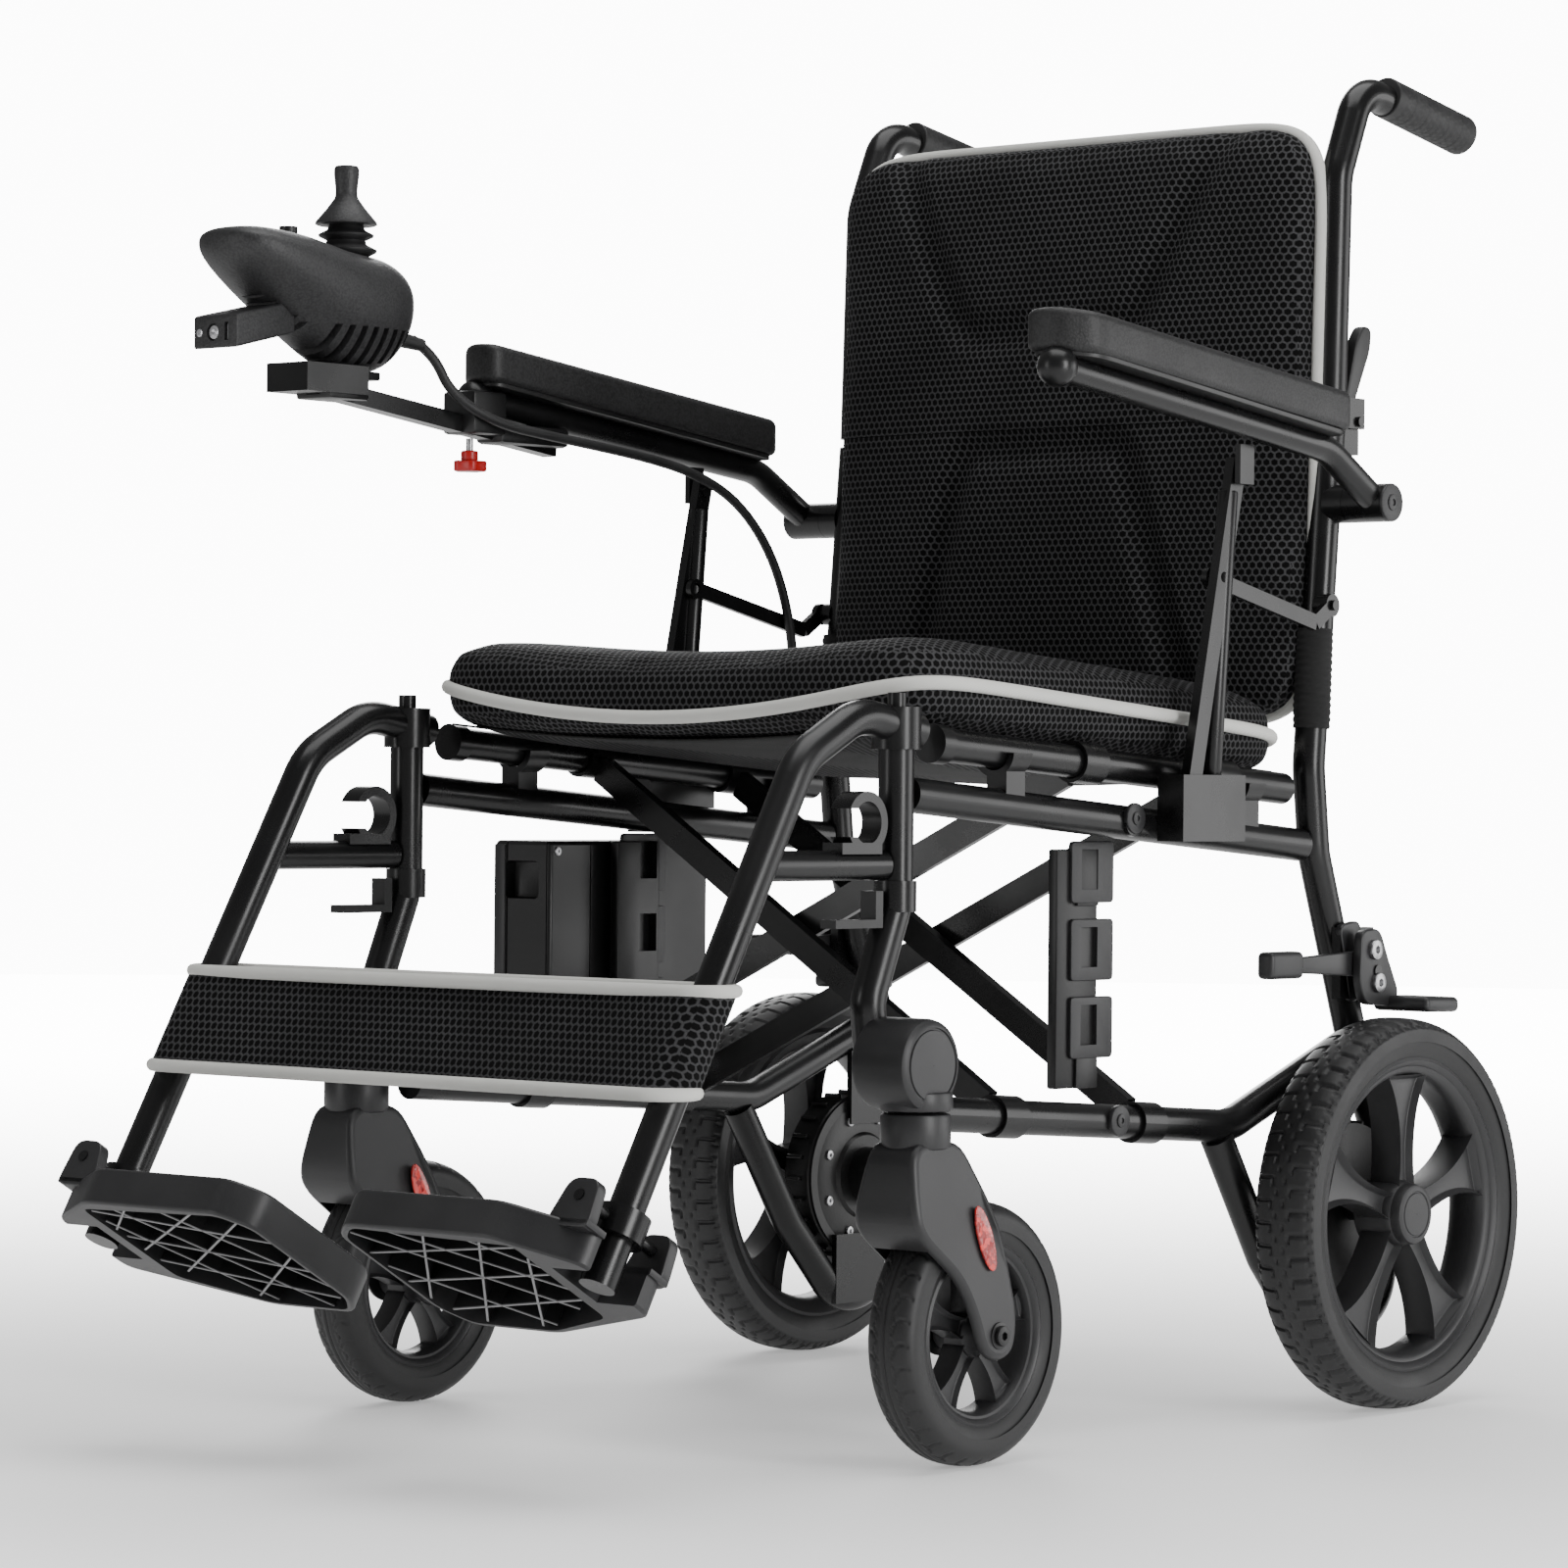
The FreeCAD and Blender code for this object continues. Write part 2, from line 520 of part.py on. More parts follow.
def back_cane():
    top = cell("cane_top")
    y = cell("back_y")
    end = (frame_x, cell("grip_end") - 4, top - cell("grip_drop"))
    bar = tube("cane_bar", [(frame_x, y + 1, cell("hinge_z") + 2), (frame_x, y + 7, top - 70),
                            (frame_x, y + 38, top + 2), end], "tube_rad", [45, 30])
    cheeks = [block("cheek%d" % k, x, "back_y + 2", "hinge_z - 5.5", "4", "28", "24")
              for k, x in enumerate(("frame_x - 13.3", "frame_x + 9.3"))]
    eye = rod("cheek_eye", "frame_x - 20", "back_y + 22", "hinge_z", "pin_rad + fit_gap", "40")
    node(cut("back_cane", fuse("cane_whole", bar, *cheeks), eye), "back_cane_left", True)
    spine = FreeCAD.Vector(*end) - FreeCAD.Vector(frame_x, y + 38, top + 2)
    spine.normalize()
    first = FreeCAD.Vector(*end) - spine * (cell("grip_end") - cell("grip_y"))
    turn = FreeCAD.Rotation(FreeCAD.Vector(0, 0, 1), spine)
    sleeve = bind(doc.addObject("Part::Cylinder", "grip_sleeve"), Radius="grip_rad",
                  Height="grip_end - grip_y + 4")
    core = bind(doc.addObject("Part::Cylinder", "grip_core"), Radius="tube_rad",
                Height="grip_end - grip_y")
    sleeve.Placement = FreeCAD.Placement(first, turn)
    core.Placement = FreeCAD.Placement(first, turn)
    node(cut("push_grip", sleeve, core), "push_grip_left", True)


def arm_z(y):
    """Height of the arm tube's centre line forward of its knee."""
    slope = (cell("arm_front_z") - cell("arm_knee_z")) / (cell("arm_front") - cell("arm_knee_y"))
    return cell("arm_knee_z") + slope * (y - cell("arm_knee_y"))


def sloped(name, y_low, y_high, wide, high, lift):
    """A bar that lies along the slope of the arm tube, `lift` above its centre line."""
    bar = bind(doc.addObject("Part::Box", name), Length=wide, Width="%s - %s" % (y_high, y_low),
               Height=high)
    rise = arm_z(cell(y_high)) - arm_z(cell(y_low))
    angle = math.degrees(math.atan2(rise, cell(y_high) - cell(y_low)))
    bar.Placement = FreeCAD.Placement(
        FreeCAD.Vector(0, cell(y_low), arm_z(cell(y_low)) + lift),
        FreeCAD.Rotation(FreeCAD.Vector(1, 0, 0), angle))
    bind(bar, Placement__Base__x="arm_x - (%s) / 2" % wide)
    return bar


def armrest():
    """Flip-up armrest: tube, pad, and the post and link that form a parallelogram."""
    x = cell("arm_x")
    bar = tube("arm_bar", [(x, cell("arm_front"), cell("arm_front_z")),
                           (x, cell("arm_knee_y"), cell("arm_knee_z")),
                           (x, cell("arm_pivot_y"), cell("arm_pivot_z"))], "arm_rad", "bend_rad")
    ball = add("Sphere", "arm_ball", ("arm_x", "arm_front", "arm_front_z"), None,
               Radius="arm_rad + 4")
    boss = rod("arm_boss", "frame_x + 24.3", "arm_pivot_y", "arm_pivot_z", "boss_rad",
               "arm_x + 13 - frame_x - 24.3")
    ear = block("arm_ear", "arm_x - 14", "hole_y - 8", "hole_z - 9", "5", "18", "30")
    pin = rod("arm_ear_pin", "arm_x - 26", "hole_y", "hole_z", "pin_rad", "14")
    bore = rod("arm_bore", "frame_x", "arm_pivot_y", "arm_pivot_z", "pivot_rad + fit_gap", "42.5")
    node(cut("arm_tube", fuse("arm_whole", bar, ball, boss, ear, pin), bore), "arm_tube_left",
         True)
    pad = sloped("arm_pad", "pad_front", "pad_rear", "pad_wide", "pad_high",
                 cell("arm_rad"))
    node(pad, "arm_pad_left", True)
    lean_y = cell("link_y") - cell("arm_pivot_y")
    lean_z = cell("link_z") - cell("arm_pivot_z")
    foot_z = rail_z(cell("socket_y")) + 4
    drop = (foot_z - cell("hole_z")) / lean_z
    top = FreeCAD.Vector(0, cell("hole_y") - lean_y * 0.12, cell("hole_z") - lean_z * 0.12)
    foot = FreeCAD.Vector(0, cell("hole_y") + lean_y * drop, foot_z)
    way = foot - top
    post = bind(doc.addObject("Part::Box", "post_strip"), Length="8", Width="16",
                Height=str(way.Length))
    turn = FreeCAD.Rotation(FreeCAD.Vector(0, 0, 1), way)
    post.Placement = FreeCAD.Placement(top - turn.multVec(FreeCAD.Vector(0, 8, 0)), turn)
    bind(post, Placement__Base__x="arm_x - 24")
    holes = [rod("post_hole%d" % k, "arm_x - 40", str(cell("hole_y") + lean_y * k),
                 str(cell("hole_z") + lean_z * k), "pin_rad + fit_gap", "40") for k in (0, 1)]
    node(cut("arm_post", post, *holes), "arm_post_left", True)
    far = FreeCAD.Vector(0, cell("link_y"), cell("link_z"))
    near = FreeCAD.Vector(0, cell("hole_y") + lean_y, cell("hole_z") + lean_z)
    elbow = far + FreeCAD.Vector(0, -22, -14)
    strips = []
    for k, (a, b) in enumerate(((near, elbow), (elbow, far))):
        run = b - a
        turn = FreeCAD.Rotation(FreeCAD.Vector(0, 1, 0), run)
        strip = bind(doc.addObject("Part::Box", "link_strip%d" % k), Length="5",
                     Width=str(run.Length), Height="12")
        strip.Placement = FreeCAD.Placement(a - turn.multVec(FreeCAD.Vector(0, 0, 6)), turn)
        bind(strip, Placement__Base__x="frame_x + tube_rad + 2.6")
        strips.append(strip)
    eye = rod("link_eye", "frame_x + tube_rad + 2.6", "link_y", "link_z", "9", "5")
    eye_near = rod("link_near", "frame_x + tube_rad + 2.6", str(near.y), str(near.z), "8", "5")
    clear = rod("link_clear", "frame_x", str(near.y), str(near.z), "pin_rad + 0.5", "60")
    bore = rod("link_bore", "frame_x", "link_y", "link_z", "pin_rad + fit_gap", "40")
    node(cut("arm_link", fuse("link_whole", eye, eye_near, *strips), clear, bore),
         "arm_link_left", True)


def hanger():
    """Swing-away legrest hanger: collar, bent tube, latch bar and calf clip."""
    points = [(frame_x, cell("post_y") + 22, cell("hang_start_z")),
              (frame_x, cell("hang_top_y"), cell("hang_top_z")),
              (frame_x, cell("hang_knee_y"), cell("hang_knee_z")),
              (frame_x, cell("hang_foot_y"), cell("hang_foot_z"))]
    bar = tube("hang_bar", points, "tube_rad", [50, 55])
    post_room = add("Cylinder", "hang_room", ("frame_x", "post_y", "post_top - 90"), None,
                    Radius="tube_rad + 0.3", Height="120")
    collar = add("Cylinder", "hang_collar", ("frame_x", "post_y", "hang_start_z - 13"), None,
                 Radius="tube_rad + 5", Height="30")
    slope = (cell("hang_foot_y") - cell("hang_knee_y")) / (cell("hang_foot_z") - cell("hang_knee_z"))
    bar_y = cell("hang_knee_y") + slope * (cell("latch_z") + 22 - cell("hang_knee_z"))
    latch = add("Cylinder", "latch_bar", ("frame_x", str(bar_y), "latch_z + 22"), ALONG_Y,
                Radius="tube_rad - 2", Height="post_y - tube_rad - 3 - (%g)" % bar_y)
    clip_foot = block("clip_foot", "frame_x - 9", "post_y - 70", "latch_z + 30", "18", "44", "8")
    clip_ring = rod("clip_ring", "frame_x - 9", "post_y - 42", "latch_z + 52", "22", "18")
    clip_room = rod("clip_room", "frame_x - 10", "post_y - 42", "latch_z + 52", "15", "20")
    clip_mouth = block("clip_mouth", "frame_x - 10", "post_y - 70", "latch_z + 42", "20", "28", "20")
    clip = cut("clip", clip_ring, clip_room, clip_mouth)
    whole = cut("hanger", fuse("hang_whole", bar, collar, latch, clip_foot, clip, foot_clamp()), post_room)
    node(whole, "hanger_left", True)
    lever = block("hang_lever_arm", "frame_x - 7", "post_y - 74", "latch_z - 22", "14", "52", "6")
    hook = block("hang_lever_hook", "frame_x - 7", "post_y - 30", "latch_z - 22", "14", "8", "26")
    node(fuse("hanger_lever", lever, hook), "hanger_lever_left", True)


def foot_turn():
    """Placement of the footplate's own axes: Z runs up the hanger tube from its foot."""
    lean = math.atan2(cell("hang_knee_y") - cell("hang_foot_y"),
                      cell("hang_knee_z") - cell("hang_foot_z"))
    return FreeCAD.Placement(FreeCAD.Vector(frame_x, cell("hang_foot_y"), cell("hang_foot_z")),
                             FreeCAD.Rotation(FreeCAD.Vector(1, 0, 0), -math.degrees(lean)))


def footplate():
    """Moulded footplate, hollow below, with a lug each side of the hanger tube."""
    piece = body("footplate_body")
    base = sketch(piece, "plate_base", "XY_Plane", None)
    wide = cell("plate_wide")
    fore = cell("plate_fore")
    aft = cell("plate_aft")
    drawn(base, [((14, "14"), (34 - fore, "34 - plate_fore")), ((-45, "-45"), (-fore, "-plate_fore")),
                 ((22 - wide, "22 - plate_wide"), (-fore, "-plate_fore")),
                 ((-wide, "-plate_wide"), (20 - fore, "20 - plate_fore")),
                 ((-wide, "-plate_wide"), (aft - 24, "plate_aft - 24")),
                 ((18 - wide, "18 - plate_wide"), (aft, "plate_aft")),
                 ((-102, "-102"), (aft, "plate_aft")), ((14, "14"), (aft - 44, "plate_aft - 44"))])
    pad = piece.newObject("PartDesign::Pad", "plate_pad")
    pad.Profile = base
    bind(pad, Length="plate_thick")
    hollow = sketch(piece, "plate_hollow", "XY_Plane", None)
    wall = 5
    outline(hollow, [(-34, -fore + wall), (22 - wide, -fore + wall), (-wide + wall, 22 - fore),
                     (-wide + wall, aft - 26), (20 - wide, aft - wall), (-100, aft - wall),
                     (-34, aft - 31)])
    pocket = piece.newObject("PartDesign::Pocket", "plate_pocket")
    pocket.Profile = hollow
    pocket.Reversed = True
    bind(pocket, Length="plate_thick - 5")
    doc.recompute()
    front = block("lug_front", "-18", "-47", "0", "32", "10", "60")
    rear = block("lug_rear", "-18", "37", "0", "32", "10", "60")
    notch = block("plate_notch", "-20", "-26", "-1", "60", "52", "plate_thick + 40")
    eye = add("Cylinder", "lug_eye", ("0", "-60", "pivot_high"), ALONG_Y,
              Radius="pin_rad + fit_gap", Height="120")
    whole = cut("plate_whole", fuse("plate_lugs", piece, front, rear), notch, eye)
    holder = doc.addObject("Part::Compound", "footplate")
    holder.Links = [whole]
    holder.Placement = foot_turn()
    node(holder, "footplate_left", True)


def foot_clamp():
    """Clamp at the hanger tube's foot with the pin that the footplate turns on."""
    ring = add("Cylinder", "foot_ring", ("0", "0", "pivot_high - 10"), None,
               Radius="tube_rad + 6", Height="20")
    pin = add("Cylinder", "foot_pin", ("0", "-48", "pivot_high"), ALONG_Y, Radius="pin_rad",
              Height="96")
    holder = doc.addObject("Part::Compound", "foot_clamp")
    holder.Links = [fuse("foot_clamp_whole", ring, pin)]
    holder.Placement = foot_turn()
    return holder


def seat_rails():
    """Round rails under the sling; each hangs on the tops of one pair of braces."""
    front = (cell("seat_x"), cell("seat_front"), cell("seat_front_z"))
    way = FreeCAD.Vector(0, cell("seat_rear") - cell("seat_front"), -cell("seat_drop"))
    bar = bind(doc.addObject("Part::Cylinder", "seat_bar"), Radius="tube_rad - 0.5",
               Height="sqrt((seat_rear - seat_front)^2 + seat_drop^2)")
    bar.Placement = FreeCAD.Placement(FreeCAD.Vector(*front),
                                      FreeCAD.Rotation(FreeCAD.Vector(0, 0, 1), way))
    cap = bind(doc.addObject("Part::Cylinder", "seat_cap"), Radius="tube_rad + 1.5", Height="14")
    cap.Placement = FreeCAD.Placement(FreeCAD.Vector(*front) - way.normalize() * 10,
                                      FreeCAD.Rotation(FreeCAD.Vector(0, 0, 1), way))
    node(fuse("seat_rail", bar, cap), "seat_rail_left", True)


def along_rails(name, x, y, z, radius, length):
    """A cylinder that runs back along the rails' rake."""
    bar = bind(doc.addObject("Part::Cylinder", name), Radius=radius, Height=length)
    way = FreeCAD.Vector(0, 1, -rake())
    bar.Placement = FreeCAD.Placement(FreeCAD.Vector(x, y, z),
                                      FreeCAD.Rotation(FreeCAD.Vector(0, 0, 1), way))
    return bar


def brace(name, side, shift):
    """Two flat bars from a sleeve on one lower rail to the seat rail of the other side."""
    low_x = frame_x * side
    top_x = -cell("seat_x") * side
    parts = []
    holes = []
    for k, start in enumerate(("brace_front_y", "brace_rear_y")):
        low_y = cell(start) + shift
        top_y = low_y + cell("brace_lean")
        low = FreeCAD.Vector(low_x, low_y, low_z(low_y))
        top = FreeCAD.Vector(top_x, top_y, seat_z(top_y))
        run = top - low
        margin = run.Length * 14 / abs(run.x)
        bar = bind(doc.addObject("Part::Box", "%s_bar%d" % (name, k)), Width="bar_thick",
                   Height="bar_wide", Length=str(run.Length - 2 * margin))
        turn = FreeCAD.Rotation(run, FreeCAD.Vector(0, 1, 0), FreeCAD.Vector(0, 0, 1), "XZY")
        middle = turn.multVec(FreeCAD.Vector(-margin, cell("bar_thick") / 2, cell("bar_wide") / 2))
        bar.Placement = FreeCAD.Placement(low - middle, turn)
        parts.append(bar)
        for end, x, y, z in ((0, low_x, low_y, low_z(low_y)), (1, top_x, top_y, seat_z(top_y))):
            parts.append(along_rails("%s_sleeve%d%d" % (name, k, end), x, y - 14, z + 14 * rake(),
                                     "tube_rad + sleeve_wall", "28"))
            holes.append(along_rails("%s_hole%d%d" % (name, k, end), x, y - 30, z + 30 * rake(),
                                     "tube_rad + 0.3", "60"))
    return node(cut(name, fuse(name + "_whole", *parts), *holes), name)


def soft_goods():
    tilt = math.degrees(math.atan2(-cell("seat_drop"), cell("seat_rear") - cell("seat_front")))
    seat = bind(doc.addObject("Part::Box", "seat_cushion"), Length="2 * cushion_x",
                Width="cushion_rear - cushion_front", Height="cushion_high")
    seat.Placement = FreeCAD.Placement(
        FreeCAD.Vector(0, cell("cushion_front"), seat_z(cell("cushion_front")) + 14),
        FreeCAD.Rotation(FreeCAD.Vector(1, 0, 0), tilt))
    bind(seat, Placement__Base__x="-cushion_x")
    node(seat, "seat_cushion")
    for label, low, high in (("back_cushion_lower", "back_low", "hinge_z - 0.5"),
                             ("back_cushion_upper", "hinge_z + 0.5", "back_top")):
        pad = bind(doc.addObject("Part::Box", label), Length="2 * (frame_x - tube_rad - 1)",
                   Width="back_thick", Height="%s - (%s)" % (high, low))
        bind(pad, Placement__Base__x="-(frame_x - tube_rad - 1)",
             Placement__Base__y="back_y - back_thick - 4", Placement__Base__z=low)
        node(pad, label)
    slope = (cell("hang_foot_y") - cell("hang_knee_y")) / (cell("hang_foot_z") - cell("hang_knee_z"))
    middle = (cell("strap_top") + cell("strap_low")) / 2
    y = cell("hang_knee_y") + slope * (middle - cell("hang_knee_z"))
    strap = bind(doc.addObject("Part::Box", "calf_strap"), Length="2 * (frame_x + tube_rad + 5)",
                 Width="4", Height="strap_top - strap_low")
    turn = FreeCAD.Rotation(FreeCAD.Vector(1, 0, 0), -math.degrees(math.atan(slope)))
    off = turn.multVec(FreeCAD.Vector(0, -cell("tube_rad") - 5,
                                      -(cell("strap_top") - cell("strap_low")) / 2))
    strap.Placement = FreeCAD.Placement(FreeCAD.Vector(0, y, middle) + off, turn)
    bind(strap, Placement__Base__x="-(frame_x + tube_rad + 5)")
    node(strap, "calf_strap")


def control():
    """Controller on the right armrest: rail, case, joystick, clamp knob and lead."""
    start = (-cell("case_x"), cell("arm_front") + 90, arm_z(cell("arm_front") + 90) - 24)
    y = cell("case_front") + 120
    end = (-cell("case_x"), y, cell("case_low") - 16)
    way = FreeCAD.Vector(*end) - FreeCAD.Vector(*start)
    bar = bind(doc.addObject("Part::Box", "control_rail"), Length="rail_side", Width="rail_side",
               Height=str(way.Length))
    turn = FreeCAD.Rotation(FreeCAD.Vector(0, 0, 1), way)
    half = cell("rail_side") / 2
    bar.Placement = FreeCAD.Placement(FreeCAD.Vector(*start)
                                      - turn.multVec(FreeCAD.Vector(half, half, 0)), turn)
    seat = block("control_seat", "-case_x - 22", "case_front + 92", "case_low - 22", "44", "66",
                 "22")
    node(fuse("control_bracket", bar, seat), "controller_rail")
    case = add("Ellipsoid", "control_case", ("-case_x", "(case_front + case_rear) / 2",
                                             "(case_low + case_top) / 2"), None,
               Radius1="(case_top - case_low) / 2 + 4", Radius2="(case_rear - case_front) / 2",
               Radius3="case_wide / 2")
    case.Placement.Rotation = FreeCAD.Rotation(FreeCAD.Vector(0, 0, 1), 90)
    foot = block("case_foot", "-case_x - 20", "case_front + 94", "case_low", "40", "60", "20")
    under = block("case_under", "-case_x - 80", "case_front - 10", "case_low - 40", "160", "300",
                  "40")
    well = add("Cylinder", "stick_well", ("-case_x", "stick_y", "case_top - 30"), None,
               Radius="15", Height="60")
    button_well = add("Cylinder", "button_well", ("-case_x", "stick_y - 62", "case_top - 18"),
                      None, Radius="7.3", Height="40")
    node(cut("controller_case", fuse("case_whole", case, foot), under, well, button_well),
         "controller_case")
    gimbal = add("Cylinder", "gimbal_ring", ("-case_x", "stick_y", "case_top - tilt_low - 3"),
                 None, Radius="12", Height="6")
    gimbal_eye = add("Cylinder", "gimbal_eye", ("-case_x", "stick_y", "case_top - 30"), None,
                     Radius="8", Height="20")
    node(cut("gimbal", gimbal, gimbal_eye), "joystick_gimbal")
    button = add("Cylinder", "power_button", ("-case_x", "stick_y - 62", "case_top - 14"), None,
                 Radius="7", Height="19")
    node(button, "power_button")
    stick = add("Cylinder", "stick_rod", ("-case_x", "stick_y", "case_top - 22"), None,
                Radius="4", Height="stick_top - case_top + 20")
    skirt = add("Cone", "stick_skirt", ("-case_x", "stick_y", "case_top + 12"), None,
                Radius1="19", Radius2="7", Height="16")
    knob = add("Cylinder", "stick_knob", ("-case_x", "stick_y", "case_top + 26"), None,
               Radius="8", Height="stick_top - case_top - 26")
    node(fuse("joystick", stick, skirt, knob), "joystick")
    knob_y = cell("arm_front") - 4
    share = (knob_y - start[1]) / (end[1] - start[1])
    screw_top = start[2] + share * (end[2] - start[2]) - half - 2
    star_low = cell("arm_front_z") - 58
    screw = add("Cylinder", "knob_screw", ("-case_x", str(knob_y), str(star_low + 10)), None,
                Radius="3", Height=str(screw_top - star_low - 10))
    star = add("Cylinder", "knob_star", ("-case_x", str(knob_y), str(star_low)), None,
               Radius="15", Height="12")
    print("clamp screw length", round(screw_top - star_low - 10, 1))
    node(fuse("clamp_knob", screw, star), "clamp_knob")
    pack = block("battery_case", "-pack_out", "pack_front", "pack_low", "pack_out - pack_in",
                 "pack_rear - pack_front", "pack_top - pack_low")
    step = block("battery_step", "-pack_in - pack_step", "pack_front - 1", "pack_low - 1",
                 "pack_step + 1", "pack_rear - pack_front + 2", "pack_step + 1")
    node(cut("battery", pack, step), "battery")


def lead():
    """Controller lead, clipped under the right arm tube and down to the side frame."""
    x = -cell("case_x")
    route = [(x + 6, -100, 826), (x + 8, -78, 816), (x + 16, -68, 786), (x + 30, -30, 764),
             (x + 35, 28, 757), (x + 34, 86, 752), (x + 35, 144, 746), (x + 36, 200, 737),
             (x + 38, 254, 716), (x + 40, 296, 674), (x + 40, 320, 620), (x + 37, 330, 564),
             (x + 32, 330, 508), (x + 31, 326, 452)]
    radius = 4
    bends = []
    for before, corner, after in zip(route, route[1:], route[2:]):
        before, corner, after = (FreeCAD.Vector(*p) for p in (before, corner, after))
        half = (corner - before).getAngle(after - corner) / 2
        shorter = min((corner - before).Length, (after - corner).Length)
        bends.append(0.45 * shorter / math.tan(half))
    print("lead radii", [round(b) for b in bends])
    ring_bar = tube("lead_bar", route, str(radius), bends)
    node(ring_bar, "controller_lead")


front_post()
upper_rail()
lower_rail()
rear_post()
battery_dock()
caster_housing()
caster_fork()
wheels()
motor()
brake()
back_cane()
armrest()
hanger()
footplate()
seat_rails()
brace("cross_brace_a", 1, 0)
brace("cross_brace_b", -1, cell("brace_shift"))
soft_goods()
control()
lead()

for item in left_nodes:
    twin = doc.addObject("Part::Mirroring", item.Name + "_twin")
    twin.Source = item
    twin.Normal = FreeCAD.Vector(1, 0, 0)
    node(twin, item.Label.replace("_left", "_right"))

doc.recompute()
for item in doc.Objects:
    if "Invalid" in item.State or "Error" in item.State:
        raise RuntimeError("%s failed: %s" % (item.Name, item.State))
os.makedirs("parts", exist_ok=True)
for item in nodes:
    shape = item.Shape
    if shape.isNull() or not shape.isValid():
        raise RuntimeError("%s has no valid shape" % item.Label)
    shape.exportStep("parts/%s.step" % item.Label)
print(len(nodes), "parts written")
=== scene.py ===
import math

import bpy
from mathutils import Matrix, Vector


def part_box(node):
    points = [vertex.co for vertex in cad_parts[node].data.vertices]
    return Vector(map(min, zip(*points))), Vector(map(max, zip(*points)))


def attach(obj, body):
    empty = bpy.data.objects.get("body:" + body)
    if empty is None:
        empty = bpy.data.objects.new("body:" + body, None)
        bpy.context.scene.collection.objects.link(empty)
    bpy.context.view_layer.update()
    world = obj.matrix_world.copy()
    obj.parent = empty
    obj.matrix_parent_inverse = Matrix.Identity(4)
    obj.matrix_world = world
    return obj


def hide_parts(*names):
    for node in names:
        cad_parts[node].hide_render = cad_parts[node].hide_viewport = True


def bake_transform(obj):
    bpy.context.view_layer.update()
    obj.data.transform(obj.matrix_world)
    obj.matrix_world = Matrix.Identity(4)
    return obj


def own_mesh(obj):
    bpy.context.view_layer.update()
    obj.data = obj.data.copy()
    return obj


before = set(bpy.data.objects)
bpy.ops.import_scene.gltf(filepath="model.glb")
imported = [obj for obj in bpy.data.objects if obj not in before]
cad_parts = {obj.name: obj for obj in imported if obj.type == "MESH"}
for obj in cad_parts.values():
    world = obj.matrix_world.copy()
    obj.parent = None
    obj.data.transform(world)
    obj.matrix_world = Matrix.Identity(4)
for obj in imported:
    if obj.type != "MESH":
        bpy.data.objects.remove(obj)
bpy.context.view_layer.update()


# small tools: selection, modifiers, copies

def clearSelection():
    bpy.ops.object.select_all(action="DESELECT")


def only(obj):
    clearSelection()
    obj.select_set(True)
    bpy.context.view_layer.objects.active = obj
    return obj


def settle(obj):
    only(obj)
    bpy.ops.object.transform_apply(location=True, rotation=True, scale=True)
    return obj


def pick(obj, test, kind="FACE"):  # leaves the object in edit mode with the wanted elements selected
    only(obj)
    bpy.ops.object.mode_set(mode="EDIT")
    bpy.ops.mesh.select_mode(type=kind)
    bpy.ops.mesh.select_all(action="DESELECT")
    bpy.ops.object.mode_set(mode="OBJECT")
    mesh = obj.data
    if kind == "FACE":
        for face in mesh.polygons:
            face.select = test(face.center, face.normal)
    elif kind == "VERT":
        for vert in mesh.vertices:
            vert.select = test(vert.co, vert.normal)
    else:
        for edge in mesh.edges:
            ends = [mesh.vertices[i].co for i in edge.vertices]
            edge.select = test((ends[0] + ends[1]) / 2, (ends[1] - ends[0]).normalized())
    bpy.ops.object.mode_set(mode="EDIT")


def leave():
    bpy.ops.object.mode_set(mode="OBJECT")


def modify(obj, kind, **settings):
    only(obj)
    step = obj.modifiers.new(kind.lower(), kind)
    for key, value in settings.items():
        setattr(step, key, value)
    bpy.ops.object.modifier_apply(modifier=step.name)
    return obj


def cleaned(obj, gap=1e-5):
    only(obj)
    bpy.ops.object.mode_set(mode="EDIT")
    bpy.ops.mesh.select_all(action="SELECT")
    bpy.ops.mesh.remove_doubles(threshold=gap)
    bpy.ops.mesh.normals_make_consistent(inside=False)
    leave()
    return obj


def smooth(obj, angle=35):
    only(obj)
    bpy.ops.object.shade_smooth_by_angle(angle=math.radians(angle))
    return obj


def joined(objs, name):
    clearSelection()
    for obj in objs:
        obj.select_set(True)
    bpy.context.view_layer.objects.active = objs[0]
    if len(objs) > 1:
        bpy.ops.object.join()
    objs[0].name = name
    return objs[0]


def copied(obj, name):
    twin = obj.copy()
    twin.data = obj.data.copy()
    twin.name = name
    bpy.context.collection.objects.link(twin)
    return twin


def mirrored(obj, name):  # the same piece on the other side, with its own mesh
    twin = copied(obj, name)
    for vert in twin.data.vertices:
        vert.co.x = -vert.co.x
    twin.data.flip_normals()
    return twin


def turned(obj, name, angle, centre, axis="X"):
    twin = copied(obj, name)
    only(twin)
    bpy.ops.object.mode_set(mode="EDIT")
    bpy.ops.mesh.select_all(action="SELECT")
    bpy.ops.transform.rotate(value=-angle, orient_axis=axis, center_override=centre)
    leave()
    return twin


def box(name, low, high, bevel=0.0, segments=2):
    clearSelection()
    middle = [(a + b) / 2 for a, b in zip(low, high)]
    bpy.ops.mesh.primitive_cube_add(size=1, location=middle)
    obj = bpy.context.object
    obj.scale = [b - a for a, b in zip(low, high)]
    obj.name = name
    settle(obj)
    if bevel:
        modify(obj, "BEVEL", width=bevel, segments=segments, limit_method="ANGLE")
    return obj


